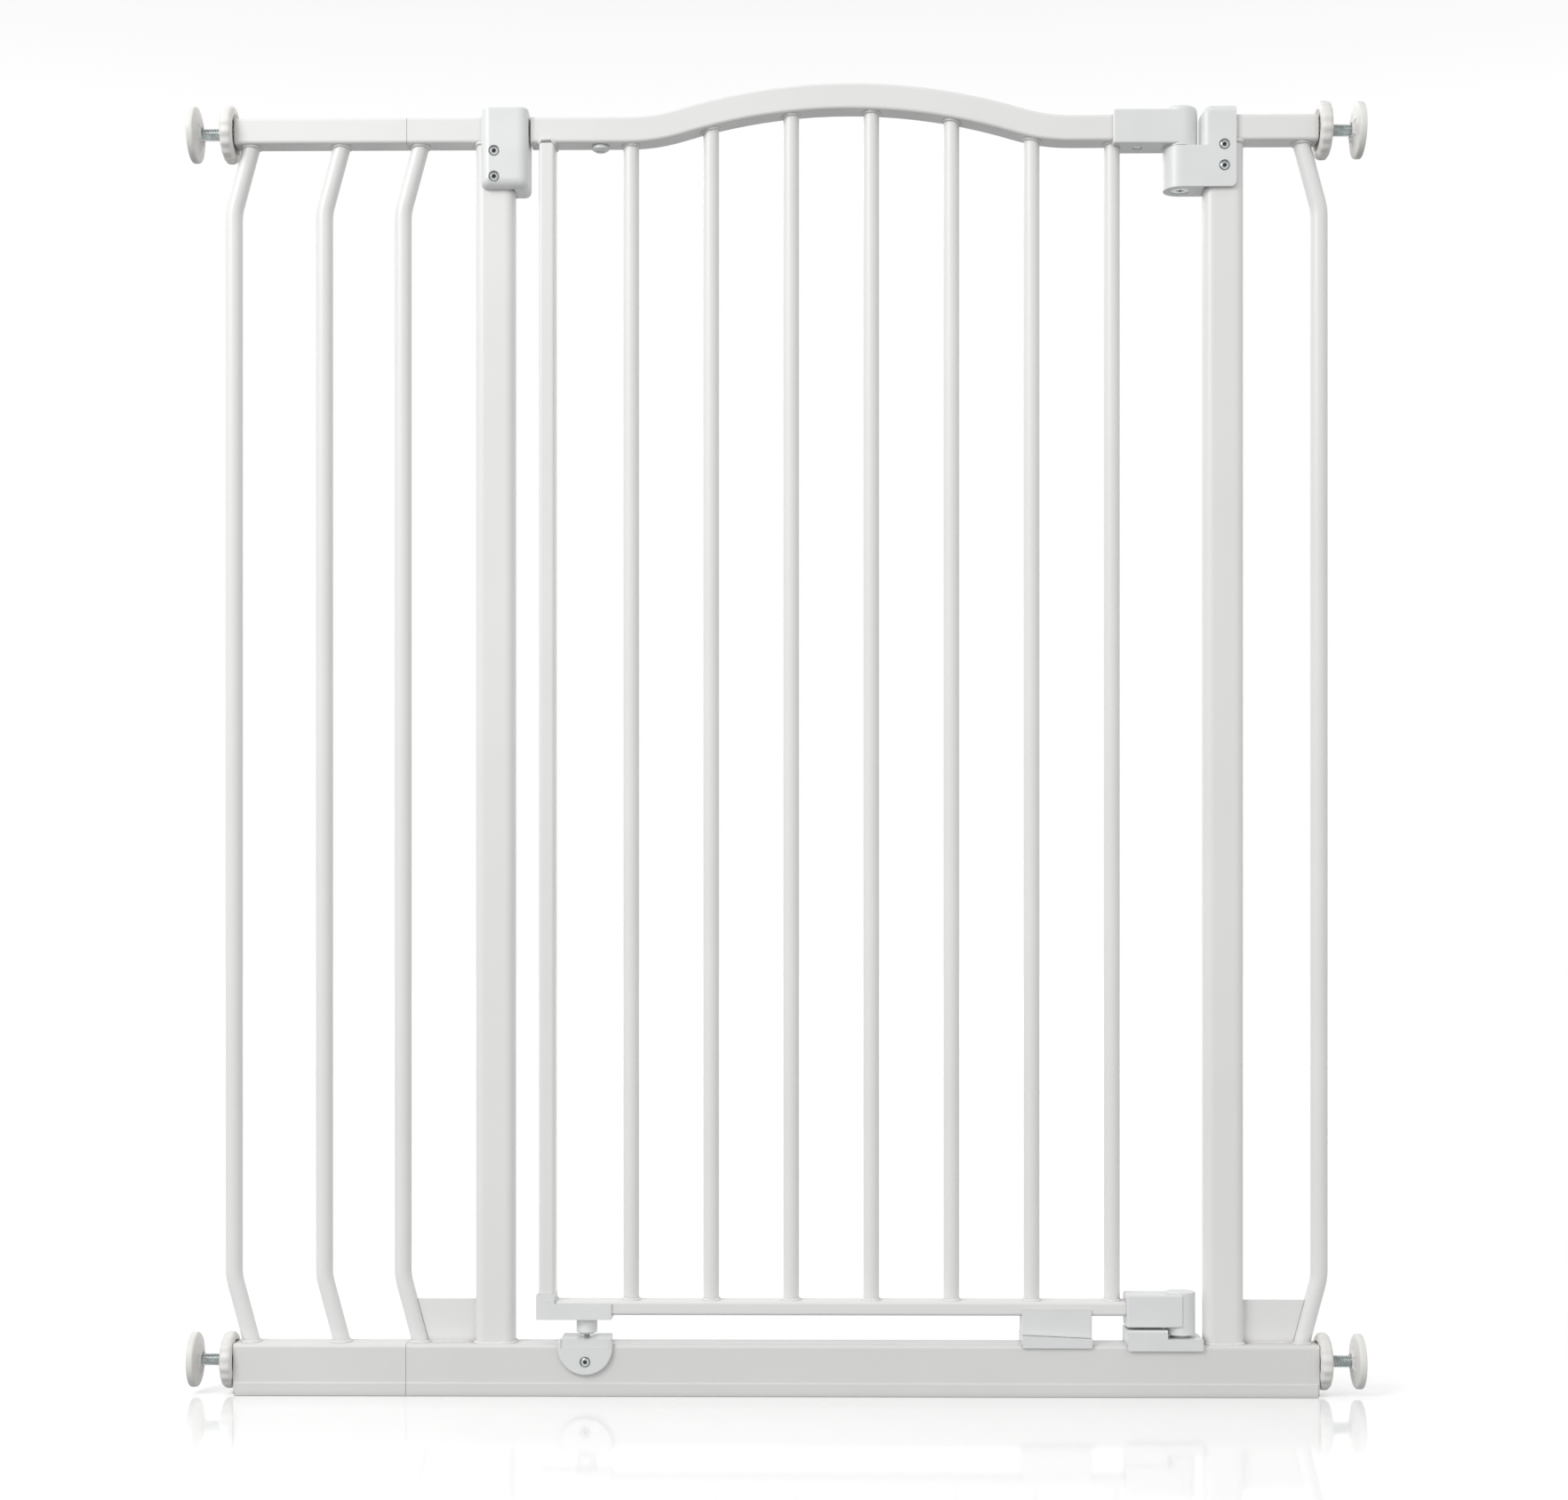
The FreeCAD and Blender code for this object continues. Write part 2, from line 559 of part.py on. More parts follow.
def guard_bar(name, x, side):
    """A round bar bent like a dog leg: its ends lean back to the rails by guard_step."""
    body = new_body(name, x=x)
    spare = size("guard_diameter") / 2
    lean = size("guard_lean")
    low = size("base_height")
    high = size("rail_height") - size("rail_tube") / 2
    step = side * size("guard_step") * (1 + spare / lean)
    spine = new_sketch(body, "XZ_Plane")
    corners = [Vector(step, low - spare, 0), Vector(0, low + lean, 0), Vector(0, high - lean, 0),
               Vector(step, high + spare, 0)]
    runs, arcs = tangent_path(spine, corners, [size("guard_radius")] * 2)
    for arc, index in arcs:
        spine.setExpression(f"Constraints[{index}]", bound("guard_radius"))
    spine.addConstraint(Sketcher.Constraint("Vertical", runs[1]))
    end = f"{side} * guard_step * (1 + guard_diameter / 2 / guard_lean)"
    fix_point(spine, runs[0], 1, end, "base_height - guard_diameter / 2")
    fix_point(spine, runs[2], 2, end, "rail_under + guard_diameter / 2")
    upright = spine.addConstraint(Sketcher.Constraint("DistanceX", -1, 1, runs[1], 1, 0.0))
    spine.setExpression(f"Constraints[{upright}]", "0")
    rise = ("guard_radius * (sqrt(guard_step ^ 2 + guard_lean ^ 2) - guard_lean) / guard_step")
    for (arc, index), level in zip(arcs, (f"base_height + guard_lean + {rise}",
                                          f"rail_under - guard_lean - {rise}")):
        height = spine.addConstraint(Sketcher.Constraint(
            "DistanceY", -1, 1, arc, 3, spine.getPoint(arc, 3).y))
        spine.setExpression(f"Constraints[{height}]", bound(level))
    section = body.newObject("Sketcher::SketchObject", name + "_section")
    section.AttachmentSupport = [(spine, "Edge1")]
    section.MapMode = "NormalToEdge"
    section.MapPathParameter = 0
    circle(section, "0", "0", "guard_diameter / 2")
    circle(section, "0", "0", "guard_diameter / 2 - tube_wall")
    doc.recompute()
    pipe = body.newObject("PartDesign::AdditivePipe", name + "_pipe")
    pipe.Profile = section
    pipe.Spine = (spine, [])
    # the ends run past the rails and are sawn level, a weld's gap clear of them
    for low_edge, high_edge in (("base_height - guard_diameter", "base_height + weld"),
                                ("rail_under - weld", "rail_under + guard_diameter")):
        saw = new_sketch(body, "XZ_Plane")
        rectangle(saw, "-2 * guard_step - guard_diameter", "2 * guard_step + guard_diameter",
                  low_edge, high_edge)
        pocket(body, saw, "2 * guard_diameter", both=True)
    return body


outer_extension_bar = guard_bar("outer_extension_bar", "left_end - guard_proud", 1)
inner_extension_bar = guard_bar("inner_extension_bar", "frame_left - extension_bar", 1)
left_guard_bar = guard_bar("left_guard_bar", "left_post - guard_clear", 1)
right_guard_bar = guard_bar("right_guard_bar", "frame_right + guard_proud", -1)

# half the width that a leaning bar takes on a level line, and the gap that its weld bridges
DERIVED["bar_flank"] = "guard_diameter / 2 * sqrt(1 + (guard_step / guard_lean) ^ 2) + weld"
DERIVED["lean_back"] = "guard_step * (1 - gusset_height / guard_lean)"


def gusset(name, post_face, bar, side):
    """A plate welded upright in the corner between a post, the base rail and a guard bar."""
    body = new_body(name)
    sketch = new_sketch(body, "XZ_Plane")
    face = f"{post_face} + ({-side}) * weld"
    top = "base_height + gusset_height"
    outline(sketch, [
        (face, "post_low"), (face, top), (f"{bar} + ({side}) * (lean_back + bar_flank)", top),
        (f"{bar} + ({side}) * (guard_step + bar_flank)", "post_low")])
    pad(body, sketch, "gusset_thick", both=True)
    return body


left_gusset = gusset("left_gusset", "left_post - post_width / 2", "left_post - guard_clear", 1)
right_gusset = gusset("right_gusset", "right_post + post_width / 2",
                      "frame_right + guard_proud", -1)

# ------------------------------------------------------------------------------ gate panel


def arched_line(sketch, below):
    """The gate's top line, or one a little below it: flat, a reverse curve, the crown, and back.

    The sketch's origin is on the rail's axis under the crown. Returns the two flat runs."""
    crown = size("arch_radius") - below
    side = size("return_radius") + below
    rise = size("arch_rise")
    total = crown + side
    reach = math.sqrt(total ** 2 - (total - rise) ** 2)
    turn = math.acos((total - rise) / total)
    left = size("left_post") - size("right_post")
    flat = -below
    runs = [sketch.addGeometry(Part.LineSegment(Vector(left, flat, 0), Vector(-reach, flat, 0)),
                               False)]
    down = -math.pi / 2
    up = math.pi / 2
    curves = [(-reach, flat + side, side, down, down + turn),
              (0, flat + rise - crown, crown, up - turn, up + turn),
              (reach, flat + side, side, down - turn, down)]
    arcs = []
    for x, y, radius, begin, end in curves:
        ring = Part.Circle(Vector(x, y, 0), Vector(0, 0, 1), radius)
        arcs.append(sketch.addGeometry(Part.ArcOfCircle(ring, begin, end), False))
    runs.append(sketch.addGeometry(Part.LineSegment(Vector(reach, flat, 0),
                                                    Vector(-left, flat, 0)), False))
    joints = [(runs[0], 2, arcs[0], 1), (arcs[0], 2, arcs[1], 2), (arcs[1], 1, arcs[2], 1),
              (arcs[2], 2, runs[1], 1)]
    for joint in joints:
        sketch.addConstraint(Sketcher.Constraint("Tangent", *joint))
    for run in runs:
        sketch.addConstraint(Sketcher.Constraint("Horizontal", run))
    radii = (f"return_radius + {below}", f"arch_radius - {below}", f"return_radius + {below}")
    for arc, radius, start in zip(arcs, radii, (side, crown, side)):
        index = sketch.addConstraint(Sketcher.Constraint("Radius", arc, start))
        sketch.setExpression(f"Constraints[{index}]", bound(radius))
    fix_point(sketch, arcs[1], 3, "0", "arch_rise - arch_radius")
    fix_point(sketch, runs[0], 1, "gate_left + 2 * tube_wall - arch_x", f"-{below}")
    fix_point(sketch, runs[1], 2, "hinge_x - rail_tube - arch_x", f"-{below}")
    return runs


gate_top_rail = new_body("gate_top_rail", x="arch_x", z="rail_height")
arch = new_sketch(gate_top_rail, "XZ_Plane")
arched_line(arch, 0)
arch_section = gate_top_rail.newObject("Sketcher::SketchObject", "arch_section")
arch_section.AttachmentSupport = [(arch, "Edge1")]
arch_section.MapMode = "NormalToEdge"
arch_section.MapPathParameter = 0
tube_profile(arch_section, "rail_tube", "rail_tube", "tube_wall", "rail_corner")
doc.recompute()
arch_pipe = gate_top_rail.newObject("PartDesign::AdditivePipe", "arch_pipe")
arch_pipe.Profile = arch_section
arch_pipe.Spine = (arch, [])
# holes in the underside for the release button and for the screw of the hinge cap
for hole_x, hole_radius in (("button_x", "button_diameter / 3"),
                            ("hinge_x - cap_screw", "screw_diameter / 2 + run")):
    drill = new_sketch(gate_top_rail, "XY_Plane", "-rail_tube / 2")
    circle(drill, f"{hole_x} - arch_x", "0", hole_radius)
    pocket(gate_top_rail, drill, "2 * tube_wall", back=True)

gate_bottom_rail = new_body("gate_bottom_rail", x="stile_x - stile_width / 2",
                            z="gate_foot + gate_rail / 2")
section = new_sketch(gate_bottom_rail, "YZ_Plane")
tube_profile(section, "rail_tube", "gate_rail", "tube_wall", "rail_corner")
pad(gate_bottom_rail, section, "foot_rail_end - stile_x + stile_width / 2")
drill = new_sketch(gate_bottom_rail, "XY_Plane", "-gate_rail / 2")
circle(drill, "foot_x - stile_x + stile_width / 2", "0", "foot_pin / 2 + play")
pocket(gate_bottom_rail, drill, "2 * tube_wall", back=True)

gate_stile = new_body("gate_stile", x="stile_x", z="gate_sill + weld")
section = new_sketch(gate_stile, "XY_Plane")
tube_profile(section, "stile_width", "rail_tube", "tube_wall", "rail_corner")
pad(gate_stile, section, "rail_under - gate_sill - 2 * weld")

# a block over the arched underside: what the bars are coped against
cope = new_body("cope", x="arch_x", z="rail_height")
cope_sketch = new_sketch(cope, "XZ_Plane")
cope_runs = arched_line(cope_sketch, size("rail_tube") / 2 + size("weld"))
head = size("arch_rise") + size("rail_tube")
ends = [cope_sketch.getPoint(cope_runs[0], 1), cope_sketch.getPoint(cope_runs[1], 2)]
lid = [Vector(ends[0].x, head, 0), Vector(ends[1].x, head, 0)]
left_side = cope_sketch.addGeometry(Part.LineSegment(lid[0], ends[0]), False)
top_side = cope_sketch.addGeometry(Part.LineSegment(lid[1], lid[0]), False)
right_side = cope_sketch.addGeometry(Part.LineSegment(ends[1], lid[1]), False)
for joint in ((left_side, 2, cope_runs[0], 1), (top_side, 2, left_side, 1),
              (right_side, 2, top_side, 1), (cope_runs[1], 2, right_side, 1)):
    cope_sketch.addConstraint(Sketcher.Constraint("Coincident", *joint))
cope_sketch.addConstraint(Sketcher.Constraint("Vertical", left_side))
cope_sketch.addConstraint(Sketcher.Constraint("Vertical", right_side))
cope_sketch.addConstraint(Sketcher.Constraint("Horizontal", top_side))
index = cope_sketch.addConstraint(Sketcher.Constraint("DistanceY", -1, 1, top_side, 1, head))
cope_sketch.setExpression(f"Constraints[{index}]", bound("arch_rise + rail_tube"))
pad(cope, cope_sketch, "2 * rail_tube", both=True)


def cylinder(name, radius, height, x, y, z):
    """A Part cylinder that stands on (x, y, z)."""
    solid = doc.addObject("Part::Cylinder", name)
    solid.setExpression("Radius", bound(radius))
    solid.setExpression("Height", bound(height))
    for axis, place in zip("xyz", (x, y, z)):
        solid.setExpression(f"Placement.Base.{axis}", bound(place))
    return solid


def cut(name, base, tool):
    """The base solid less the tool."""
    result = doc.addObject("Part::Cut", name)
    result.Base = base
    result.Tool = tool
    return result


gate_bars = []
for number in range(1, BAR_COUNT + 1):
    name = f"gate_bar_{number}"
    share = f"({number - 1}) / ({BAR_COUNT - 1})"
    bar_x = f"first_bar + (last_bar - first_bar) * {share}"
    tall = "rail_height + arch_rise - gate_sill"
    rod = cylinder(name + "_rod", "bar_diameter / 2", tall, bar_x, "0", "gate_sill + weld")
    core = cylinder(name + "_core", "bar_diameter / 2 - tube_wall", tall, bar_x, "0",
                    "gate_sill + weld")
    bar = cut(name, cut(name + "_tube", rod, core), cope)
    bar.Label = name
    gate_bars.append(bar)

# --------------------------------------------------------------------------- upper hinge


def all_but_right(shape, edge):
    """The outside edges of a block, less those of its right end, where a barrel joins it."""
    if not any(outer(shape, edge, axis) for axis in range(3)):
        return False
    return middle(edge).x < shape.BoundBox.XMax - 1e-4


def top_rim(shape, edge):
    """The edges around the top of a body."""
    return edge.BoundBox.ZMin > shape.BoundBox.ZMax - 1e-4


def box_pocket(body, x_low, x_high, half_depth, z_low, z_high):
    """Cut a box out of a body, half_depth to the front and to the back of its XZ plane."""
    sketch = new_sketch(body, "XZ_Plane")
    rectangle(sketch, x_low, x_high, z_low, z_high)
    return pocket(body, sketch, f"2 * ({half_depth})", both=True)


def bore(body, radius, z_low, z_high, x="0"):
    """A round hole up the body's Z axis, or beside it at x."""
    sketch = new_sketch(body, "XY_Plane", z_low)
    circle(sketch, x, "0", radius)
    return pocket(body, sketch, f"{z_high} - ({z_low})", back=True)


def barrel(body, radius, z_low, z_high):
    sketch = new_sketch(body, "XY_Plane", z_low)
    circle(sketch, "0", "0", radius)
    return pad(body, sketch, f"{z_high} - ({z_low})")


# The cap slides over the end of the gate's top rail and turns on the fixed knuckle below it.
upper_hinge_cap = new_body("upper_hinge_cap", x="hinge_x", z="rail_under")
side_view = new_sketch(upper_hinge_cap, "XZ_Plane")
rectangle(side_view, "-cap_reach", "0", "-cap_floor", "rail_tube + cap_roof")
pad(upper_hinge_cap, side_view, "cap_depth", both=True)
fillet(upper_hinge_cap, "edge_round", all_but_right)
barrel(upper_hinge_cap, "knuckle_diameter / 2", "barrel_foot", "rail_tube + barrel_roof")
fillet(upper_hinge_cap, "2 * edge_round", top_rim)
box_pocket(upper_hinge_cap, "-cap_reach", "play - rail_tube", "half_tube", "-seat",
           "rail_tube + seat")
bore(upper_hinge_cap, "cap_bore", "barrel_foot", "rail_tube + barrel_roof - cap_floor")
bore(upper_hinge_cap, "bar_diameter / 2 + play", "-cap_floor", "0", x="-hinge_pitch")
bore(upper_hinge_cap, "screw_diameter / 2 + run", "-cap_floor", "0", x="-cap_screw")
bore(upper_hinge_cap, "screw_head / 2 + play", "-cap_floor", "screw_sink - cap_floor",
     x="-cap_screw")

# The bracket wraps the right post and the rail above it, and holds the fixed knuckle.
hinge_bracket = new_body("hinge_bracket", x="hinge_x", z="rail_height")
arm = new_sketch(hinge_bracket, "XZ_Plane")
outline(arm, [
    ("0", "-knuckle_low"), ("bracket_end", "-knuckle_low"), ("bracket_end", "bracket_roof"),
    ("bracket_face", "bracket_roof"), ("bracket_face", "-knuckle_top"), ("0", "-knuckle_top")])
pad(hinge_bracket, arm, "cap_depth", both=True)
fillet(hinge_bracket, "3 * edge_round",
       lambda shape, edge: along(edge, 1) and middle(edge).x > size("hinge_reach")
       and middle(edge).z < 0)
fillet(hinge_bracket, "bracket_corner",
       lambda shape, edge: along(edge, 1) and middle(edge).x < size("hinge_reach")
       and middle(edge).z > 0)
fillet(hinge_bracket, "4 * edge_round",
       lambda shape, edge: along(edge, 2) and 0 < middle(edge).x < size("hinge_reach"))
barrel(hinge_bracket, "knuckle_diameter / 2", "-knuckle_low", "-knuckle_top")
box_pocket(hinge_bracket, "hinge_reach - seat", "bracket_end + seat", "half_tube",
           "-knuckle_low", "half_tube")
bore(hinge_bracket, "pin_diameter / 2 + seat", "-knuckle_low", "-knuckle_top")
bore(hinge_bracket, "pin_head / 2 + seat", "-knuckle_low", "pin_sink - knuckle_low")


def counterbore(body, face, x, z, wall):
    """A screw hole through a front wall, with a ring around it that sinks the screw's head."""
    for radius, start, depth in (("screw_head / 2 + 3 * play", face, "screw_sink"),
                                 ("screw_diameter / 2 + run", f"{face} - screw_sink", wall)):
        sketch = new_sketch(body, "XZ_Plane", start)
        circle(sketch, x, z, radius)
        pocket(body, sketch, depth)


for below in ("bracket_screw_high", "bracket_screw_low"):
    counterbore(hinge_bracket, "cap_depth / 2", "hinge_reach + bracket_screw_inset",
                f"-{below}", "cap_depth / 2 - half_tube")


def pin(name, z, head_low, head_high, top):
    """A hinge pin with a flat head at its foot."""
    body = new_body(name, x="hinge_x", z=z)
    sketch = new_sketch(body, "XZ_Plane")
    outline(sketch, [("0", head_low), ("pin_head / 2", head_low), ("pin_head / 2", head_high),
                     ("pin_diameter / 2", head_high), ("pin_diameter / 2", top), ("0", top)])
    revolve(body, sketch)
    chamfer(body, "2 * play", top_rim)
    return body


upper_hinge_pin = pin("upper_hinge_pin", "rail_height", "play - knuckle_low",
                      "pin_sink - knuckle_low", "rail_tube / 2 + barrel_roof - 2 * cap_floor")
# a cross recess in the head of the upper pin, which shows from below
recess = new_sketch(upper_hinge_pin, "XY_Plane", "play - knuckle_low")
long_half = "pin_head / 5"
thin_half = "pin_head / 18"
outline(recess, [
    (f"-{long_half}", f"-{thin_half}"), (f"-{thin_half}", f"-{thin_half}"),
    (f"-{thin_half}", f"-{long_half}"), (thin_half, f"-{long_half}"),
    (thin_half, f"-{thin_half}"), (long_half, f"-{thin_half}"), (long_half, thin_half),
    (thin_half, thin_half), (thin_half, long_half), (f"-{thin_half}", long_half),
    (f"-{thin_half}", thin_half), (f"-{long_half}", thin_half)])
pocket(upper_hinge_pin, recess, "pin_sink / 2", back=True)


def bush(name, z, low, high):
    """A plain sleeve that turns on the pin and guides the barrel as the gate rises."""
    body = new_body(name, x="hinge_x", z=z)
    sketch = new_sketch(body, "XY_Plane", low)
    circle(sketch, "0", "0", "bush_diameter / 2")
    circle(sketch, "0", "0", "bush_bore")
    pad(body, sketch, f"{high} - ({low})")
    return body


hinge_bushes = group("hinge_bushes", [
    bush("upper_bush", "rail_height", "play / 2 - knuckle_top",
         "rail_tube / 2 + barrel_roof - cap_floor - 2 * play"),
    bush("lower_bush", "base_height", "barrel_clear - play",
         "barrel_top - cap_floor - 2 * play"),
])

# --------------------------------------------------------------------------- lower hinge

# The lower cap sits over the end of the gate's bottom rail and turns on a pin in the saddle.
lower_hinge_cap = new_body("lower_hinge_cap", x="hinge_x", z="gate_foot")
side_view = new_sketch(lower_hinge_cap, "XZ_Plane")
rectangle(side_view, "-foot_reach", "0", "-foot_floor", "gate_rail + foot_roof")
pad(lower_hinge_cap, side_view, "foot_depth", both=True)
fillet(lower_hinge_cap, "edge_round", all_but_right)
barrel(lower_hinge_cap, "foot_barrel / 2", "barrel_clear - gate_clear", "barrel_top - gate_clear")
fillet(lower_hinge_cap, "edge_round * 2 / 3", top_rim)
box_pocket(lower_hinge_cap, "-foot_reach", "play - foot_barrel / 2 - barrel_clear",
           "half_tube", "-seat", "gate_rail + seat")
bore(lower_hinge_cap, "cap_bore", "barrel_clear - gate_clear",
     "barrel_top - gate_clear - cap_floor")

# The saddle straddles the base rail; its left half is higher and is hollowed around the barrel.
hinge_base = new_body("hinge_base", x="hinge_x", z="base_height")
side_view = new_sketch(hinge_base, "XZ_Plane")
outline(side_view, [
    ("play - foot_reach", "-saddle_lip"), ("saddle_end", "-saddle_lip"),
    ("saddle_end", "saddle_step"), ("-foot_barrel / 2", "saddle_step"),
    ("-foot_barrel / 2", "saddle_top"), ("play - foot_reach", "saddle_top")])
pad(hinge_base, side_view, "saddle_depth", both=True)
fillet(hinge_base, "edge_round",
       lambda shape, edge: along(edge, 1) and middle(edge).z < 0
       or outer(shape, edge, 0) and middle(edge).z > 0)
relief = new_sketch(hinge_base, "XY_Plane", "saddle_step")
circle(relief, "0", "0", "foot_barrel / 2 + edge_round")
pocket(hinge_base, relief, "saddle_top", back=True)
barrel(hinge_base, "bush_diameter / 2 + edge_round", "saddle_step", "barrel_clear - 2 * play")
box_pocket(hinge_base, "-foot_reach", "saddle_end + seat", "base_depth / 2 + seat",
           "-saddle_lip", "seat")
bore(hinge_base, "pin_diameter / 2 + seat", "0", "barrel_clear")

lower_hinge_pin = pin("lower_hinge_pin", "base_height", "-base_wall - weld - pin_sink",
                      "-base_wall - weld", "barrel_top - 2 * cap_floor")

# ------------------------------------------------------------------- strike and catch plate

# The housing slides over the left post and the rail above it, and is screwed to the post.
strike_housing = new_body("strike_housing", x="left_inner", z="rail_height")
side_view = new_sketch(strike_housing, "XZ_Plane")
rectangle(side_view, "-strike_wrap", "strike_reach", "-strike_low", "strike_roof")
pad(strike_housing, side_view, "strike_depth", both=True)
fillet(strike_housing, "strike_corner",
       lambda shape, edge: along(edge, 1) and middle(edge).z < 0)
fillet(strike_housing, "strike_round",
       lambda shape, edge: along(edge, 2) and middle(edge).x > shape.BoundBox.XMax - 1e-4)
fillet(strike_housing, "edge_round", top_rim)
box_pocket(strike_housing, "-strike_wrap", "seat", "half_tube",
           "-strike_low", "half_tube")
box_pocket(strike_housing, "strike_reach - bolt_travel - 3 * weld", "strike_reach",
           "bolt_depth / 2 + 2 * play", "-bolt_height / 2 - 2 * play",
           "bolt_height / 2 + lift + 2 * play")
for below in ("strike_screw_high", "strike_screw_low"):
    counterbore(strike_housing, "strike_depth / 2", "-strike_screw_inset", f"-{below}",
                "strike_depth / 2 - half_tube")

# A half-round plate on the front of the base rail with a lip over it, notched for the pin.
catch_plate = new_body("catch_plate", x="foot_x", z="base_height")
face = new_sketch(catch_plate, "XZ_Plane", "base_depth / 2 + seat")
circle(face, "0", "catch_drop", "catch_radius")
pad(catch_plate, face, "catch_wall")
fillet(catch_plate, "edge_round",
       lambda shape, edge: edge.BoundBox.YMax < shape.BoundBox.YMin + 1e-4)
trim = new_sketch(catch_plate, "XZ_Plane")
rectangle(trim, "-2 * catch_radius", "2 * catch_radius", "catch_roof", "2 * catch_radius")
pocket(catch_plate, trim, "4 * catch_radius", both=True)
lip = new_sketch(catch_plate, "XZ_Plane")
rectangle(lip, "-catch_window / 2", "catch_window / 2", "seat", "catch_roof")
pad(catch_plate, lip, "base_depth", both=True)
bridge = new_sketch(catch_plate, "XZ_Plane", "base_depth / 2")
rectangle(bridge, "-catch_window / 2", "catch_window / 2", "seat", "catch_roof")
pad(catch_plate, bridge, "catch_wall / 2")
window = new_sketch(catch_plate, "XZ_Plane", "base_depth / 2 + seat + catch_wall")
rectangle(window, "-catch_window / 2", "catch_window / 2", "catch_drop - seat", "catch_radius")
pocket(catch_plate, window, "catch_wall / 4")
notch = new_sketch(catch_plate, "XZ_Plane")
outline(notch, [("-notch_width / 2", "catch_roof"), ("-foot_pin / 2", "catch_roof - catch_notch"),
                ("foot_pin / 2", "catch_roof - catch_notch"), ("notch_width / 2", "catch_roof")])
pocket(catch_plate, notch, "4 * catch_radius", both=True)
counterbore(catch_plate, "base_depth / 2 + seat + catch_wall", "0",
            "catch_screw - base_height", "catch_wall")


def screw(name, x, face, z):
    """A cross-headed screw driven in from the front, its head sunk below the face."""
    body = new_body(name, x=x, y=f"screw_sink - ({face})", z=z)
    half = new_sketch(body, "XY_Plane")
    outline(half, [
        ("0", "screw_grip"), ("0", "play - screw_sink"), ("screw_head / 3", "play - screw_sink"),
        ("screw_head / 2", "-screw_sink / 2"), ("screw_head / 2", "0"),
        ("screw_diameter / 2", "0"), ("screw_diameter / 2", "screw_grip")])
    revolve(body, half)
    arm = "screw_head / 4"
    rib = "screw_head / 16"
    recess = new_sketch(body, "XZ_Plane", "screw_sink - play")
    outline(recess, [
        (f"-{arm}", f"-{rib}"), (f"-{rib}", f"-{rib}"), (f"-{rib}", f"-{arm}"),
        (rib, f"-{arm}"), (rib, f"-{rib}"), (arm, f"-{rib}"), (arm, rib), (rib, rib),
        (rib, arm), (f"-{rib}", arm), (f"-{rib}", rib), (f"-{arm}", rib)])
    pocket(body, recess, "screw_sink / 2")
    return body


frame_screws = group("frame_screws", [
    screw("strike_screw_upper", "left_inner - strike_screw_inset", "strike_depth / 2",
          "rail_height - strike_screw_high"),
    screw("strike_screw_lower", "left_inner - strike_screw_inset", "strike_depth / 2",
          "rail_height - strike_screw_low"),
    screw("bracket_screw_upper", "right_inner + bracket_screw_inset", "cap_depth / 2",
          "rail_height - bracket_screw_high"),
    screw("bracket_screw_lower", "right_inner + bracket_screw_inset", "cap_depth / 2",
          "rail_height - bracket_screw_low"),
    screw("catch_plate_screw", "foot_x", "base_depth / 2 + seat + catch_wall", "catch_screw"),
])

hinge_cap_screw = new_body("hinge_cap_screw", x="hinge_x - cap_screw", z="rail_under - cap_floor")
half = new_sketch(hinge_cap_screw, "XZ_Plane")
outline(half, [
    ("0", "play"), ("screw_head / 3", "play"), ("screw_head / 2", "screw_sink / 2"),
    ("screw_head / 2", "screw_sink"), ("screw_diameter / 2", "screw_sink"),
    ("screw_diameter / 2", "screw_grip"), ("0", "screw_grip")])
revolve(hinge_cap_screw, half)
slot = new_sketch(hinge_cap_screw, "XY_Plane", "play")
rectangle(slot, "-screw_head / 4", "screw_head / 4", "-screw_head / 16", "screw_head / 16")
pocket(hinge_cap_screw, slot, "screw_sink / 2", back=True)

# ------------------------------------------------------------------------------------ stops

# A block under the gate's bottom rail, and the clip on the base rail whose slant it meets.
DERIVED["stop_high"] = "stop_low + stop_slope"
stop_block = new_body("stop_block", x="hinge_x - stop_pitch", z="base_height")
side_view = new_sketch(stop_block, "XZ_Plane")
outline(side_view, [
    ("-stop_length", "stop_high + play"), ("0", "stop_low + play"),
    ("0", "gate_clear + stop_low"), ("-stop_length", "gate_clear + stop_low")])
pad(stop_block, side_view, "stop_depth", both=True)
fillet(stop_block, "edge_round * 2 / 3", lambda shape, edge: along(edge, 2))
box_pocket(stop_block, "-stop_length - seat", "seat", "half_tube", "gate_clear - seat",
           "2 * gate_clear")

stop_base = new_body("stop_base", x="hinge_x - stop_pitch", z="base_height")
side_view = new_sketch(stop_base, "XZ_Plane")
outline(side_view, [
    ("play - stop_length", "-stop_lip"), ("0", "-stop_lip"), ("0", "stop_low"),
    ("-stop_length", "stop_high"), ("-stop_length", "-stop_lip / 2")])
pad(stop_base, side_view, "base_depth + 2 * stop_wall + 2 * seat", both=True)
fillet(stop_base, "edge_round",
       lambda shape, edge: along(edge, 1) and middle(edge).x > -1e-4 and middle(edge).z < 0)
box_pocket(stop_base, "-stop_length - seat", "seat", "base_depth / 2 + seat",
           "-stop_lip", "seat")

# -------------------------------------------------------------------- corner cap and its foot

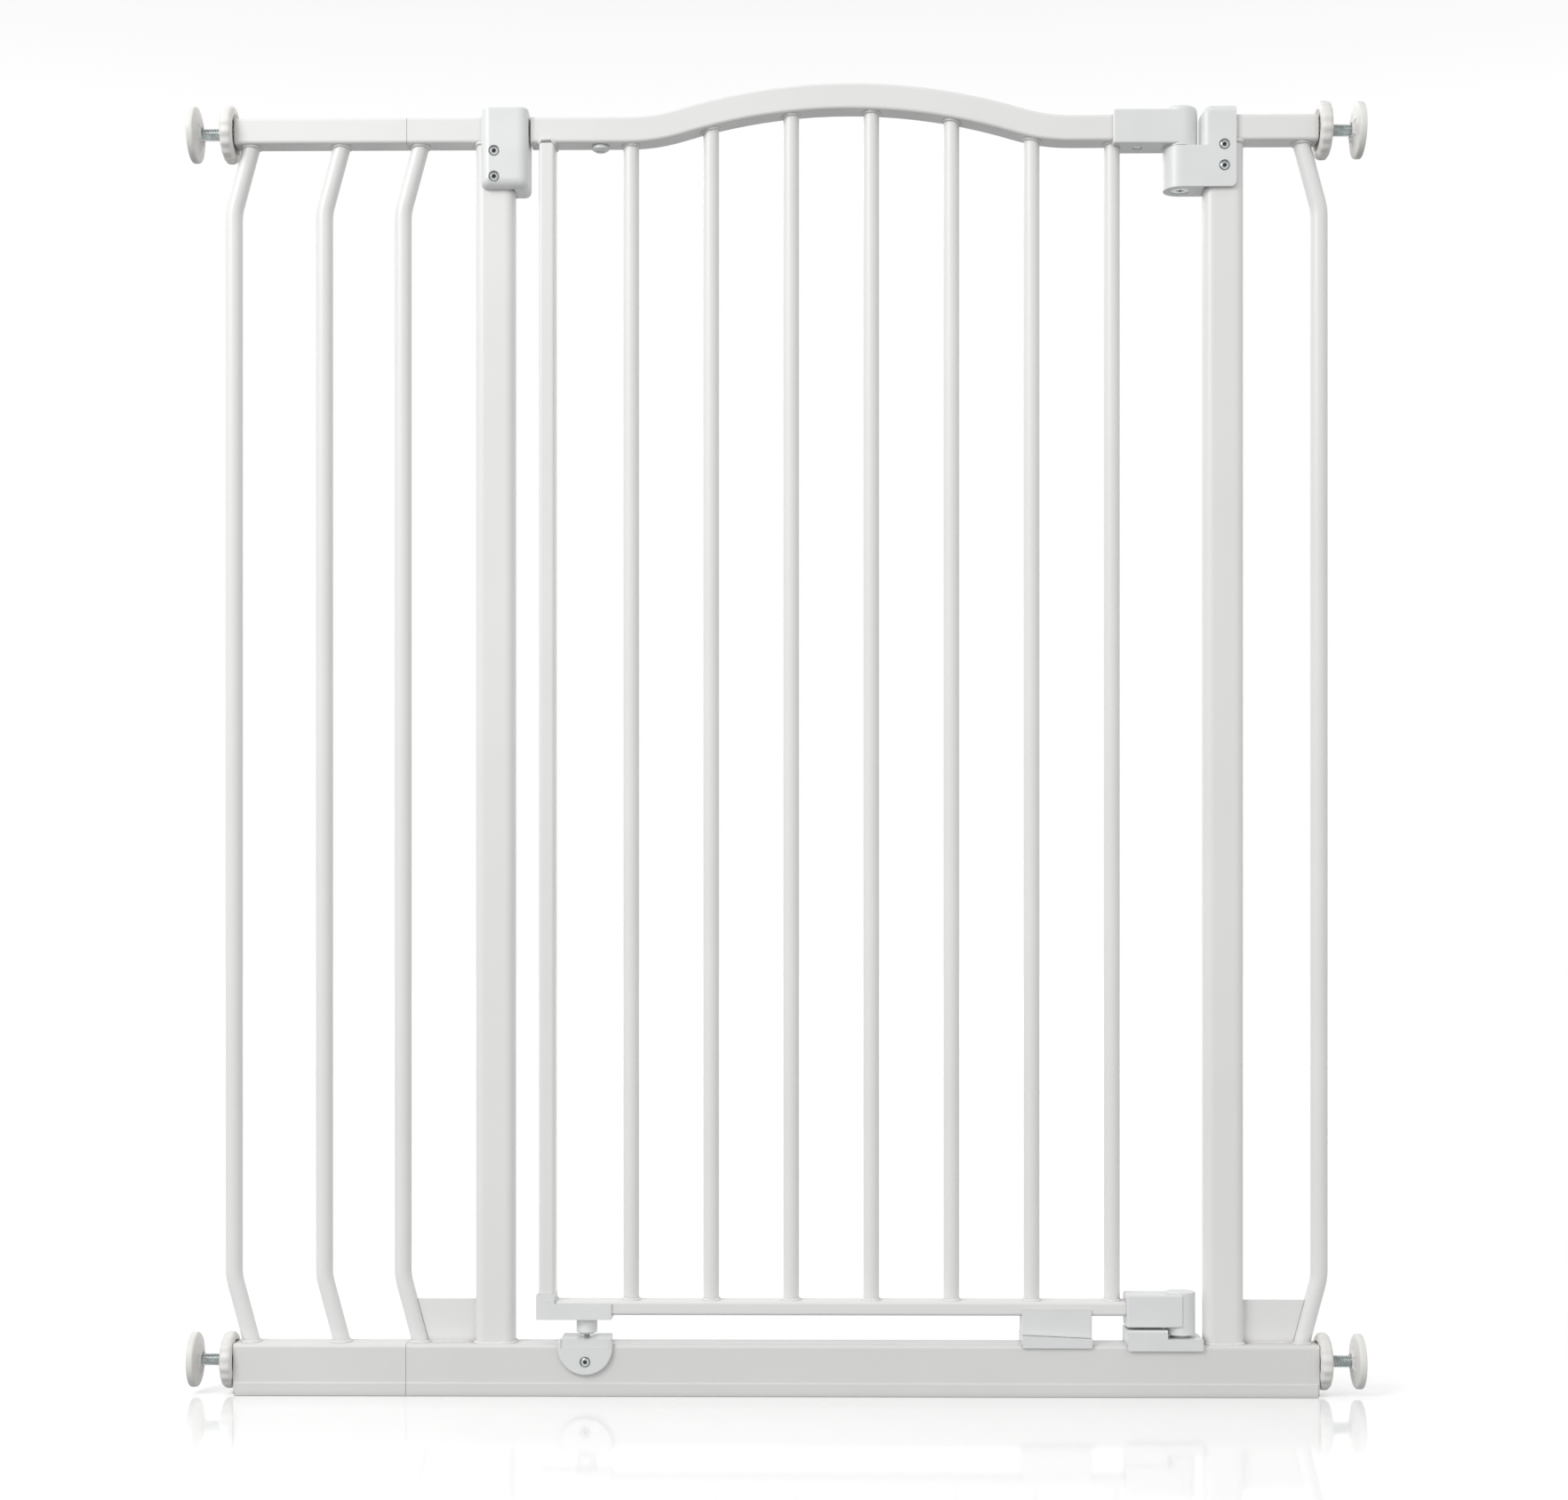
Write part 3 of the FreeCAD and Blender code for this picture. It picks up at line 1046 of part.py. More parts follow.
corner_cap = new_body("corner_cap", x="gate_left", z="gate_foot")
side_view = new_sketch(corner_cap, "XZ_Plane")
outline(side_view, [
    ("shoe_left", "-shoe_floor"), ("shoe_left + shoe_length", "-shoe_floor"),
    ("shoe_left + shoe_length", "shoe_rise"),
    ("stile_inset + stile_width / 2", "shoe_rise"),
    ("stile_inset + stile_width / 2", "shoe_corner"), ("shoe_left", "shoe_corner")])
pad(corner_cap, side_view, "shoe_depth", both=True)
fillet(corner_cap, "edge_round * 2 / 3",
       lambda shape, edge: outer(shape, edge, 1) or outer(shape, edge, 2))
box_pocket(corner_cap, "stile_inset - stile_width / 2 - seat", "shoe_left + shoe_length",
           "half_tube", "-seat", "shoe_corner")
bore(corner_cap, "foot_pin / 2 + play", "-shoe_floor", "0", x="foot_pitch")

height_knob = new_body("height_knob", x="foot_x", z="gate_foot")
half = new_sketch(height_knob, "XZ_Plane")
outline(half, [
    ("foot_pin / 2 + run", "-knob_drop"), ("knob_diameter / 3", "-knob_drop"),
    ("knob_diameter / 2", "edge_round - knob_drop"),
    ("knob_diameter / 2", "-shoe_floor - play"), ("foot_pin / 2 + run", "-shoe_floor - play")])
revolve(height_knob, half)
fillet(height_knob, "edge_round * 2 / 3",
       lambda shape, edge: edge.BoundBox.XLength > size("knob_diameter") - 1e-3
       and middle(edge).z < -size("knob_drop") / 2)

foot_pin = new_body("foot_pin", x="foot_x", z="gate_foot")
half = new_sketch(foot_pin, "XZ_Plane")
outline(half, [
    ("0", "-pin_drop"), ("foot_pin / 4", "-pin_drop"), ("foot_pin / 2", "foot_pin / 4 - pin_drop"),
    ("foot_pin / 2", "pin_rise"), ("0", "pin_rise")])
revolve(foot_pin, half)
chamfer(foot_pin, "play", top_rim)

# ------------------------------------------------------------------------- latch in the gate

# A moulded plug closes the rail's latch end and guides the bolt through its slot.
latch_guide = new_body("latch_guide", x="gate_left", z="rail_height")
plate = new_sketch(latch_guide, "YZ_Plane")
rounded_rectangle(plate, "rail_tube", "rail_tube", "rail_corner")
pad(latch_guide, plate, "2 * tube_wall - weld")
chamfer(latch_guide, "tube_wall / 2",
        lambda shape, edge: edge.BoundBox.XMax < shape.BoundBox.XMin + 1e-4)
stem = new_sketch(latch_guide, "YZ_Plane", "tube_wall")
rounded_rectangle(stem, "rail_tube - 2 * tube_wall - 2 * weld",
                  "rail_tube - 2 * tube_wall - 2 * weld", "tube_wall")
pad(latch_guide, stem, "guide_length - tube_wall")
box_pocket(latch_guide, "-weld", "guide_length + weld", "bolt_depth / 2 + play / 2",
           "-bolt_height / 2 - play / 2", "bolt_height / 2 + play / 2")

DERIVED["tail_foot"] = "tail_low - rail_tube / 2"
DERIVED["link_level"] = "link_height - rail_tube / 2"
DERIVED["slot_half"] = "link_diameter / 2 + play"
DERIVED["slot_run"] = "sqrt(bolt_travel ^ 2 + button_travel ^ 2)"
DERIVED["slot_dx"] = "slot_half * button_travel / slot_run"
DERIVED["slot_dz"] = "slot_half * bolt_travel / slot_run"

# The bolt's tail has a slanted slot: the button's cross pin rides in it and draws the bolt back.
latch_bolt = new_body("latch_bolt", x="gate_left", z="rail_height")
nose = new_sketch(latch_bolt, "XZ_Plane")
outline(nose, [("weld", "weld - bolt_height / 2"), ("2 * weld", "-bolt_height / 2"),
               ("nose_length", "-bolt_height / 2"), ("nose_length", "bolt_height / 2"),
               ("bolt_height / 4", "bolt_height / 2"), ("weld", "bolt_height / 4")])
pad(latch_bolt, nose, "bolt_depth", both=True)
tail = new_sketch(latch_bolt, "XZ_Plane")
rectangle(tail, "nose_length", "nose_length + tail_length", "tail_foot",
          "tail_foot + tail_height")
pad(latch_bolt, tail, "bolt_depth", both=True)
ends = new_sketch(latch_bolt, "XZ_Plane")
circle(ends, "button_pitch", "link_level", "slot_half")
pocket(latch_bolt, ends, "2 * bolt_depth", both=True)
ends = new_sketch(latch_bolt, "XZ_Plane")
circle(ends, "button_pitch + bolt_travel", "link_level - button_travel", "slot_half")
pocket(latch_bolt, ends, "2 * bolt_depth", both=True)
slot = new_sketch(latch_bolt, "XZ_Plane")
outline(slot, [
    ("button_pitch + slot_dx", "link_level + slot_dz"),
    ("button_pitch - slot_dx", "link_level - slot_dz"),
    ("button_pitch + bolt_travel - slot_dx", "link_level - button_travel - slot_dz"),
    ("button_pitch + bolt_travel + slot_dx", "link_level - button_travel + slot_dz")])
pocket(latch_bolt, slot, "2 * bolt_depth", both=True)

DERIVED["fork_in"] = "bolt_depth / 2 + play"
DERIVED["fork_out"] = "fork_in + fork_wall"
DERIVED["fork_foot"] = "tube_wall + button_travel + play"
DERIVED["fork_top"] = "link_height + link_diameter / 2 + 2 * play"

# The release button: a round head under the rail, a neck through it, and a fork over the tail.
release_button = new_body("release_button", x="button_x", z="rail_under")
half = new_sketch(release_button, "XZ_Plane")
outline(half, [
    ("0", "-button_drop"), ("button_diameter / 3", "-button_drop"),
    ("button_diameter / 2", "-button_drop * 2 / 3"), ("button_diameter / 2", "-play"),
    ("button_diameter / 3 - play", "-play"), ("button_diameter / 3 - play", "fork_foot + weld"),
    ("0", "fork_foot + weld")])
revolve(release_button, half)
base = new_sketch(release_button, "XZ_Plane")
rectangle(base, "-button_diameter / 3", "button_diameter / 3", "fork_foot", "tail_low - play")
pad(release_button, base, "2 * (fork_out)", both=True)
prongs = new_sketch(release_button, "XZ_Plane")
rectangle(prongs, "-button_diameter / 3", "button_diameter / 3", "fork_foot", "fork_top")
pad(release_button, prongs, "2 * (fork_out)", both=True)
box_pocket(release_button, "-button_diameter", "button_diameter", "fork_in",
           "tail_low - play", "fork_top + play")
link_hole = new_sketch(release_button, "XZ_Plane")
circle(link_hole, "0", "link_height", "link_diameter / 2 + seat / 2")
pocket(release_button, link_hole, "4 * (fork_out)", both=True)
slot = new_sketch(release_button, "XY_Plane", "-button_drop")
rectangle(slot, "-button_diameter / 5", "button_diameter / 5", "-weld * 5", "weld * 5")
pocket(release_button, slot, "play * 3", back=True)

button_link = new_body("button_link", x="button_x", z="rail_under + link_height")
rod = new_sketch(button_link, "XZ_Plane")
circle(rod, "0", "0", "link_diameter / 2")
pad(button_link, rod, "2 * (fork_out)", both=True)


def spring(name, side):
    """A small coil spring that stands on one prong of the fork, under the rail's roof."""
    helix = doc.addObject("Part::Helix", name + "_line")
    coil = "rail_tube - tube_wall - fork_top - spring_wire - 2 * weld"
    helix.setExpression("Height", bound(coil))
    helix.setExpression("Pitch", bound(f"({coil}) / spring_turns"))
    helix.setExpression("Radius", bound("(spring_diameter - spring_wire) / 2"))
    wire = doc.addObject("Part::Circle", name + "_wire")
    wire.setExpression("Radius", bound("spring_wire / 2"))
    wire.Placement.Rotation = Rotation(Vector(1, 0, 0), 90)
    wire.setExpression("Placement.Base.x", bound("(spring_diameter - spring_wire) / 2"))
    sweep = doc.addObject("Part::Sweep", name)
    sweep.Sections = [wire]
    sweep.Spine = (helix, [])
    sweep.Solid = True
    sweep.Frenet = True
    sweep.setExpression("Placement.Base.x", bound("button_x"))
    sweep.setExpression("Placement.Base.y", bound(f"{side} * (fork_in + fork_out) / 2"))
    sweep.setExpression("Placement.Base.z",
                        bound("rail_under + fork_top + spring_wire / 2 + weld"))
    return sweep


latch_springs = group("latch_springs", [spring("front_spring", -1), spring("back_spring", 1)])

# ------------------------------------------------------------------------------ wall fixings


def fixing(level, side):
    """One wall fixing: hand wheel, threaded spindle and wall cup, along X from the rail's end."""
    name = f"{level}_{side}"
    place = "frame_right" if side == "right" else "left_end"
    height = "rail_height" if level == "top" else "spindle_height"
    turn = None if side == "right" else (Vector(0, 0, 1), 180)

    wheel = new_body(f"{name}_adjuster", x=place, z=height, turn=turn)
    rim = "adjuster_diameter / 2"
    near = "tube_wall + play"
    far = "tube_wall + play + adjuster_thick"
    half = new_sketch(wheel, "XZ_Plane")
    outline(half, [
        (near, "thread_diameter / 2 + run"), (near, f"{rim} - 2 * edge_round"),
        (f"{near} + edge_round", f"{rim} - edge_round / 2"), (f"{near} + 2 * edge_round", rim),
        (f"{far} - 2 * edge_round", rim), (f"{far} - edge_round", f"{rim} - edge_round / 2"),
        (far, f"{rim} - 2 * edge_round"), (far, f"{rim} * 3 / 4"),
        (f"{far} - 2 * edge_round", f"{rim} * 3 / 4 - edge_round"),
        (f"{far} - 2 * edge_round", f"{rim} / 2"), (far, f"{rim} / 2 - edge_round"),
        (far, "thread_diameter / 2 + run")])
    revolve(wheel, half, "H_Axis")
    scallop = new_sketch(wheel, "YZ_Plane")
    circle(scallop, "0", f"{rim} + scallop_radius - scallop_depth", "scallop_radius")
    groove = pocket(wheel, scallop, "2 * adjuster_thick", back=True)
    pattern = wheel.newObject("PartDesign::PolarPattern", f"{name}_pattern")
    pattern.Originals = [groove]
    pattern.Axis = (next(item for item in wheel.Origin.OriginFeatures
                         if item.Role == "X_Axis"), [""])
    pattern.Angle = 360
    pattern.Occurrences = SCALLOPS
    wheel.Tip = pattern

    tip = "tube_wall + play + adjuster_thick + spindle_gap + cup_thick - cup_skin"
    spindle = new_body(f"{name}_spindle", x=place, z=height, turn=turn)
    half = new_sketch(spindle, "XZ_Plane")
    outline(half, [
        (f"{tip} - spindle_length", "0"), (f"{tip} - spindle_length", "thread_diameter / 3"),
        (f"{tip} - spindle_length + thread_diameter / 6", "thread_diameter / 2"),
        (tip, "thread_diameter / 2"), (tip, "0")])
    revolve(spindle, half, "H_Axis")

    cup = new_body(f"{name}_wall_cup", x=place, z=height, turn=turn)
    half = new_sketch(cup, "XZ_Plane")
    back = "tube_wall + play + adjuster_thick + spindle_gap"
    edge = "cup_diameter / 2"
    outline(half, [
        (back, "thread_diameter / 2 + seat"), (back, f"{edge} / 2"),
        (f"{back} + edge_round", f"{edge} - edge_round"), (f"{back} + 2 * edge_round", edge),
        (f"{back} + cup_thick - edge_round", edge), (f"{back} + cup_thick", f"{edge} - edge_round"),
        (f"{back} + cup_thick", "0"), (f"{tip} + seat", "0"),
        (f"{tip} + seat", "thread_diameter / 2 + seat")])
    revolve(cup, half, "H_Axis")
    return [wheel, spindle, cup]


fixings = [piece for level in ("top", "bottom") for side in ("left", "right")
           for piece in fixing(level, side)]

# ----------------------------------------------------------------------- check and write out

NODES = [
    main_base_rail, extension_base_rail, left_top_rail, right_top_rail, extension_top_rail,
    joiner_sleeves, top_rail_plugs, base_rail_plugs, left_post, right_post,
    outer_extension_bar, inner_extension_bar, left_guard_bar, right_guard_bar,
    left_gusset, right_gusset, gate_top_rail, gate_bottom_rail, gate_stile, *gate_bars,
    upper_hinge_cap, hinge_bracket, upper_hinge_pin, hinge_bushes, lower_hinge_cap, hinge_base,
    lower_hinge_pin, strike_housing, catch_plate, frame_screws, hinge_cap_screw, stop_block,
    stop_base, corner_cap, height_knob, foot_pin, latch_guide, latch_bolt, release_button,
    button_link, latch_springs, *fixings,
]

doc.recompute()
for thing in doc.Objects:
    if "Invalid" in thing.State or "Error" in thing.State:
        raise RuntimeError(f"{thing.Label} failed: {thing.State}")
    if thing.TypeId == "PartDesign::Pocket":
        if thing.Shape.Volume > thing.BaseFeature.Shape.Volume - 1e-3:
            raise RuntimeError(f"{thing.Label} cuts nothing")
for node in NODES:
    if node.Shape.isNull() or not node.Shape.isValid():
        raise RuntimeError(f"{node.Label} has no valid shape")

os.makedirs("parts", exist_ok=True)
for node in NODES:
    node.Shape.exportStep(f"parts/{node.Label}.step")
print(f"{len(NODES)} nodes written")
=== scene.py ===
import math

import bmesh
import bpy
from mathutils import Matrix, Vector


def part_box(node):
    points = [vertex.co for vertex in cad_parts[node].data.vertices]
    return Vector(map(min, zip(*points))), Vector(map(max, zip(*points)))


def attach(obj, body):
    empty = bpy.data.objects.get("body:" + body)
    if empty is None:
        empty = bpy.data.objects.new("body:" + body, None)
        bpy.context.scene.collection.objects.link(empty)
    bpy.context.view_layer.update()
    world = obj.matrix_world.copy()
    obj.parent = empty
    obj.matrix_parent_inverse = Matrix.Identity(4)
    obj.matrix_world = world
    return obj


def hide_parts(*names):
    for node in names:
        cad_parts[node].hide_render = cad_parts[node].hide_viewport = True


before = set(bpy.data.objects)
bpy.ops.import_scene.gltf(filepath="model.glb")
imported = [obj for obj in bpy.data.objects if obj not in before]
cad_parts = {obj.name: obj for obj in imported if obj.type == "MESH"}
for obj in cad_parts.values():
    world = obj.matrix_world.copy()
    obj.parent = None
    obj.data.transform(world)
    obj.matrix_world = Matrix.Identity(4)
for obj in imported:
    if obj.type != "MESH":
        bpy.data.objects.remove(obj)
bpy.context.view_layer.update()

# ------------------------------------------------------------------ base rails
# The foot of the gate: a pressed steel channel with a folded hem along the floor, and the same
# section again, 131 mm long, for the extension. Both are powder-coated white.


def seen_through(material, node, **inputs):
    """Adds a shader node of that type to a material's tree, with its sockets set by name."""
    made = material.node_tree.nodes.new(node)
    for socket, value in inputs.items():
        made.inputs[socket.replace("_", " ")].default_value = value
    return made


def powder_coat(name, pale, shaded, gloss):
    """Baked powder paint: a slight orange peel, uneven gloss and painted shade darkening its corners.
    """
    paint = bpy.data.materials.new(name)
    paint.use_nodes = True
    links = paint.node_tree.links
    shader = paint.node_tree.nodes["Principled BSDF"]
    place = seen_through(paint, "ShaderNodeTexCoord")
    cloud = seen_through(paint, "ShaderNodeTexNoise", Scale=7.0, Detail=3.0)
    peel = seen_through(paint, "ShaderNodeTexNoise", Scale=900.0, Detail=2.0)
    sheen = seen_through(paint, "ShaderNodeTexNoise", Scale=55.0, Detail=4.0)
    for texture in (cloud, peel, sheen):
        links.new(place.outputs["Object"], texture.inputs["Vector"])
    tint = paint.node_tree.nodes.new("ShaderNodeValToRGB")
    tint.color_ramp.elements[0].position = 0.35
    tint.color_ramp.elements[0].color = (*shaded, 1)
    tint.color_ramp.elements[1].position = 0.65
    tint.color_ramp.elements[1].color = (*pale, 1)
    links.new(cloud.outputs["Fac"], tint.inputs["Fac"])
    # Painted shade: ambient occlusion darkens the paint towards a grey in corners and joints.
    corner = paint.node_tree.nodes.new("ShaderNodeAmbientOcclusion")
    corner.samples = 6
    corner.inputs["Distance"].default_value = 0.007
    painted_corner_shade = paint.node_tree.nodes.new("ShaderNodeMapRange")
    painted_corner_shade.inputs["From Min"].default_value = 0.25
    painted_corner_shade.inputs["From Max"].default_value = 0.85
    painted_corner_shade.inputs["To Min"].default_value = 0.55
    painted_corner_shade.inputs["To Max"].default_value = 0.0
    links.new(corner.outputs["AO"], painted_corner_shade.inputs["Value"])
    mixed = paint.node_tree.nodes.new("ShaderNodeMix")
    mixed.data_type = "RGBA"
    # The grey of the painted corner shade.
    mixed.inputs[7].default_value = (0.36, 0.35, 0.32, 1)
    links.new(painted_corner_shade.outputs["Result"], mixed.inputs["Factor"])
    links.new(tint.outputs["Color"], mixed.inputs[6])
    links.new(mixed.outputs[2], shader.inputs["Base Color"])
    matt = paint.node_tree.nodes.new("ShaderNodeMapRange")
    matt.inputs["To Min"].default_value = gloss - 0.05
    matt.inputs["To Max"].default_value = gloss + 0.07
    links.new(sheen.outputs["Fac"], matt.inputs["Value"])
    links.new(matt.outputs["Result"], shader.inputs["Roughness"])
    bump = seen_through(paint, "ShaderNodeBump", Strength=0.16, Distance=0.0002)
    links.new(peel.outputs["Fac"], bump.inputs["Height"])
    links.new(bump.outputs["Normal"], shader.inputs["Normal"])
    return paint


def finish_in(material, *nodes):
    """Gives CAD nodes their real finish."""
    for node in nodes:
        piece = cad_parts[node]
        if not piece.material_slots:
            piece.data.materials.append(material)
        piece.material_slots[0].material = material


white_coat = powder_coat("white_coat", (0.80, 0.798, 0.79), (0.775, 0.773, 0.765), 0.34)
# The foot rails' coat is the frame's white paint made darker, as painted shade along the floor.
shaded_foot_coat = powder_coat("shaded_foot_coat", (0.74, 0.738, 0.73), (0.715, 0.713, 0.705), 0.38)
finish_in(shaded_foot_coat, "base_rail", "extension_base_rail")

# ------------------------------------------------------------------ top rails
# Square steel tube along the top of the frame: a short piece each side of the doorway and one on
# the extension, joined by hidden sleeves. Powder-coated with the rest of the frame.

finish_in(white_coat, "left_top_rail", "right_top_rail", "extension_top_rail")

for rail in ("left_top_rail", "right_top_rail", "extension_top_rail", "base_rail",
             "extension_base_rail"):
    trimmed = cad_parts[rail].modifiers.new("deburred_ends", "BEVEL")
    trimmed.width = 0.0007
    trimmed.segments = 2
    trimmed.angle_limit = math.radians(50)

# ------------------------------------------------------------------ posts, guard bars and gussets
# The two posts are flattened tube and the four guard bars are round tube bent to a dog leg at
# each end. All of them and the gusset plates are MIG welded to the rails before coating.


def loop_round(centre, half_x, half_y, corner, steps):
    """Points and outward directions round a rounded rectangle, or a circle if the corner fills it."""
    points = []
    for quarter, (sx, sy) in enumerate([(1, 1), (-1, 1), (-1, -1), (1, -1)]):
        middle = Vector((centre[0] + sx * (half_x - corner), centre[1] + sy * (half_y - corner)))
        for k in range(steps):
            turn = math.radians(90 * (quarter + k / (steps - 1)))
            out = Vector((math.cos(turn), math.sin(turn)))
            points.append((middle + corner * out, out))
    return points


def even_run(points, spacing, closed):
    """The same line with evenly spaced points, so that the ripples of a bead are even too."""
    ring = points + points[:1] if closed else points
    run = [0.0]
    for (a, _), (b, _) in zip(ring, ring[1:]):
        run.append(run[-1] + (b - a).length)
    count = max(4, round(run[-1] / spacing))
    even, leg = [], 0
    for k in range(count if closed else count + 1):
        want = run[-1] * k / count
        while leg < len(ring) - 2 and run[leg + 1] < want:
            leg += 1
        span = run[leg + 1] - run[leg] or 1.0
        share = (want - run[leg]) / span
        (a, out_a), (b, out_b) = ring[leg], ring[leg + 1]
        even.append((a.lerp(b, share), out_a.lerp(out_b, share).normalized(), want))
    return even


def lay_bead(shell, line, thickness, closed=True):
    """One weld bead along a line: a round cord with the small ripples that the torch leaves."""
    verts, faces = shell
    ripple, lump, sides = 0.0017, 0.011, 10
    run = even_run(line, ripple / 4, closed)
    start, total = len(verts), len(run)
    for k, (point, out, along) in enumerate(run):
        ahead = run[(k + 1) % total if closed else min(k + 1, total - 1)][0]
        behind = run[(k - 1) % total if closed else max(k - 1, 0)][0]
        way = (ahead - behind).normalized()
        side = way.cross(out).normalized()
        swell = 1 + 0.10 * math.sin(2 * math.pi * along / ripple)
        swell += 0.14 * math.sin(2 * math.pi * along / lump + 7 * start)
        if not closed:
            swell *= math.sqrt(max(0.05, min(1, 4 * (k + 0.2) / total, 4 * (total - k) / total)))
        for step in range(sides):
            turn = 2 * math.pi * step / sides
            verts.append(point + thickness * swell * (math.cos(turn) * out + math.sin(turn) * side))
    rows = total if closed else total - 1
    for k in range(rows):
        here, there = start + k * sides, start + (k + 1) % total * sides
        for step in range(sides):
            nxt = (step + 1) % sides
            faces.append((here + step, here + nxt, there + nxt, there + step))
    if not closed:
        faces.append(tuple(start + step for step in reversed(range(sides))))
        faces.append(tuple(start + (total - 1) * sides + step for step in range(sides)))


def weld_piece(name, shell, body):
    """Makes one object of the beads that were laid, coated like the tube they join."""
    mesh = bpy.data.meshes.new(name)
    mesh.from_pydata([tuple(vert) for vert in shell[0]], [], shell[1])
    mesh.shade_smooth()
    mesh.materials.append(white_coat)
    piece = bpy.data.objects.new(name, mesh)
    bpy.context.scene.collection.objects.link(piece)
    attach(piece, body)
    return piece


def bead_round(shell, outline, height, thickness):
    """A bead round a tube that stands on a level rail, or hangs under one."""
    lay_bead(shell, [(Vector((*at, height)), Vector((*out, 0))) for at, out in outline], thickness)


guard_bars = ["outer_extension_bar", "inner_extension_bar", "left_guard_bar", "right_guard_bar"]
finish_in(white_coat, "left_post", "right_post", "left_gusset", "right_gusset", *guard_bars)
rail_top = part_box("base_rail")[1][2]
rail_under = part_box("left_top_rail")[0][2]
bar_bead, post_bead = 0.0015, 0.0016

beads = ([], [])
for post in ("left_post", "right_post"):
    low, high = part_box(post)
    middle = ((low[0] + high[0]) / 2, 0)
    outline = loop_round(middle, (high[0] - low[0]) / 2, high[1], 0.007, 8)
    bead_round(beads, outline, rail_top, post_bead)
    bead_round(beads, outline, rail_under, post_bead)
weld_piece("post_weld_beads", beads, "frame")

beads = ([], [])
lean = math.hypot(1, 0.3)
for bar in guard_bars:
    low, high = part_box(bar)
    half = high[1] * lean
    inward = low[0] + half if low[0] > 0 else high[0] - half
    outline = loop_round((inward, 0), half, high[1], high[1] - 1e-5, 12)
    bead_round(beads, outline, rail_top, bar_bead)
    bead_round(beads, outline, rail_under, bar_bead)
weld_piece("guard_bar_weld_beads", beads, "frame")

beads = ([], [])
plate_bead, bar_reach, short_of_top, short_of_post = 0.0012, 0.009, 0.003, 0.004
for gusset, side in (("left_gusset", 1), ("right_gusset", -1)):
    low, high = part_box(gusset)
    post_face = high[0] if side > 0 else low[0]
    bar_side = low[0] + bar_reach if side > 0 else high[0] - bar_reach
    for face in (low[1], high[1]):
        away = Vector((0, math.copysign(1, face), 0))
        lay_bead(beads, [(Vector((post_face, face, low[2])), away),
                         (Vector((post_face, face, high[2] - short_of_top)), away)],
                 plate_bead, closed=False)
        lay_bead(beads, [(Vector((bar_side, face, low[2])), away),
                         (Vector((post_face - side * short_of_post, face, low[2])), away)],
                 plate_bead, closed=False)
weld_piece("gusset_weld_beads", beads, "frame")

# ------------------------------------------------------------------ end plugs and sleeves
# Moulded plugs close the four rail ends and carry the threaded spindles. The joiner sleeves are
# plated steel tube, pushed into the rails where the extension meets the frame.


def moulded(name, colour, gloss, grain):
    """Injection-moulded plastic: even colour, a fine spark-eroded grain, soft light in it and painted
    shade in its corners.
    """
    plastic = bpy.data.materials.new(name)
    plastic.use_nodes = True
    links = plastic.node_tree.links
    shader = plastic.node_tree.nodes["Principled BSDF"]
    shader.inputs["IOR"].default_value = 1.49
    shader.inputs["Subsurface Weight"].default_value = 0.06
    shader.inputs["Subsurface Radius"].default_value = (0.002, 0.002, 0.002)
    place = seen_through(plastic, "ShaderNodeTexCoord")
    flow = seen_through(plastic, "ShaderNodeTexNoise", Scale=30.0, Detail=2.0)
    spark = seen_through(plastic, "ShaderNodeTexNoise", Scale=2600.0, Detail=3.0)
    for texture in (flow, spark):
        links.new(place.outputs["Object"], texture.inputs["Vector"])
    tint = plastic.node_tree.nodes.new("ShaderNodeValToRGB")
    tint.color_ramp.elements[0].position = 0.3
    tint.color_ramp.elements[0].color = (*[0.965 * part for part in colour], 1)
    tint.color_ramp.elements[1].position = 0.7
    tint.color_ramp.elements[1].color = (*colour, 1)
    links.new(flow.outputs["Fac"], tint.inputs["Fac"])
    # Painted shade: ambient occlusion darkens the plastic towards a grey in its corners and recesses.
    corner = plastic.node_tree.nodes.new("ShaderNodeAmbientOcclusion")
    corner.samples = 6
    corner.inputs["Distance"].default_value = 0.004
    plastic_corner_shade = plastic.node_tree.nodes.new("ShaderNodeMapRange")
    plastic_corner_shade.inputs["From Min"].default_value = 0.2
    plastic_corner_shade.inputs["From Max"].default_value = 0.8
    plastic_corner_shade.inputs["To Min"].default_value = 0.5
    plastic_corner_shade.inputs["To Max"].default_value = 0.0
    links.new(corner.outputs["AO"], plastic_corner_shade.inputs["Value"])
    mixed = plastic.node_tree.nodes.new("ShaderNodeMix")
    mixed.data_type = "RGBA"
    # The grey of the painted corner shade.
    mixed.inputs[7].default_value = (0.33, 0.33, 0.32, 1)
    links.new(plastic_corner_shade.outputs["Result"], mixed.inputs["Factor"])
    links.new(tint.outputs["Color"], mixed.inputs[6])
    links.new(mixed.outputs[2], shader.inputs["Base Color"])
    matt = plastic.node_tree.nodes.new("ShaderNodeMapRange")
    matt.inputs["To Min"].default_value = gloss - 0.04
    matt.inputs["To Max"].default_value = gloss + 0.06
    links.new(flow.outputs["Fac"], matt.inputs["Value"])
    links.new(matt.outputs["Result"], shader.inputs["Roughness"])
    bump = seen_through(plastic, "ShaderNodeBump", Strength=grain, Distance=0.00008)
    links.new(spark.outputs["Fac"], bump.inputs["Height"])
    links.new(bump.outputs["Normal"], shader.inputs["Normal"])
    return plastic


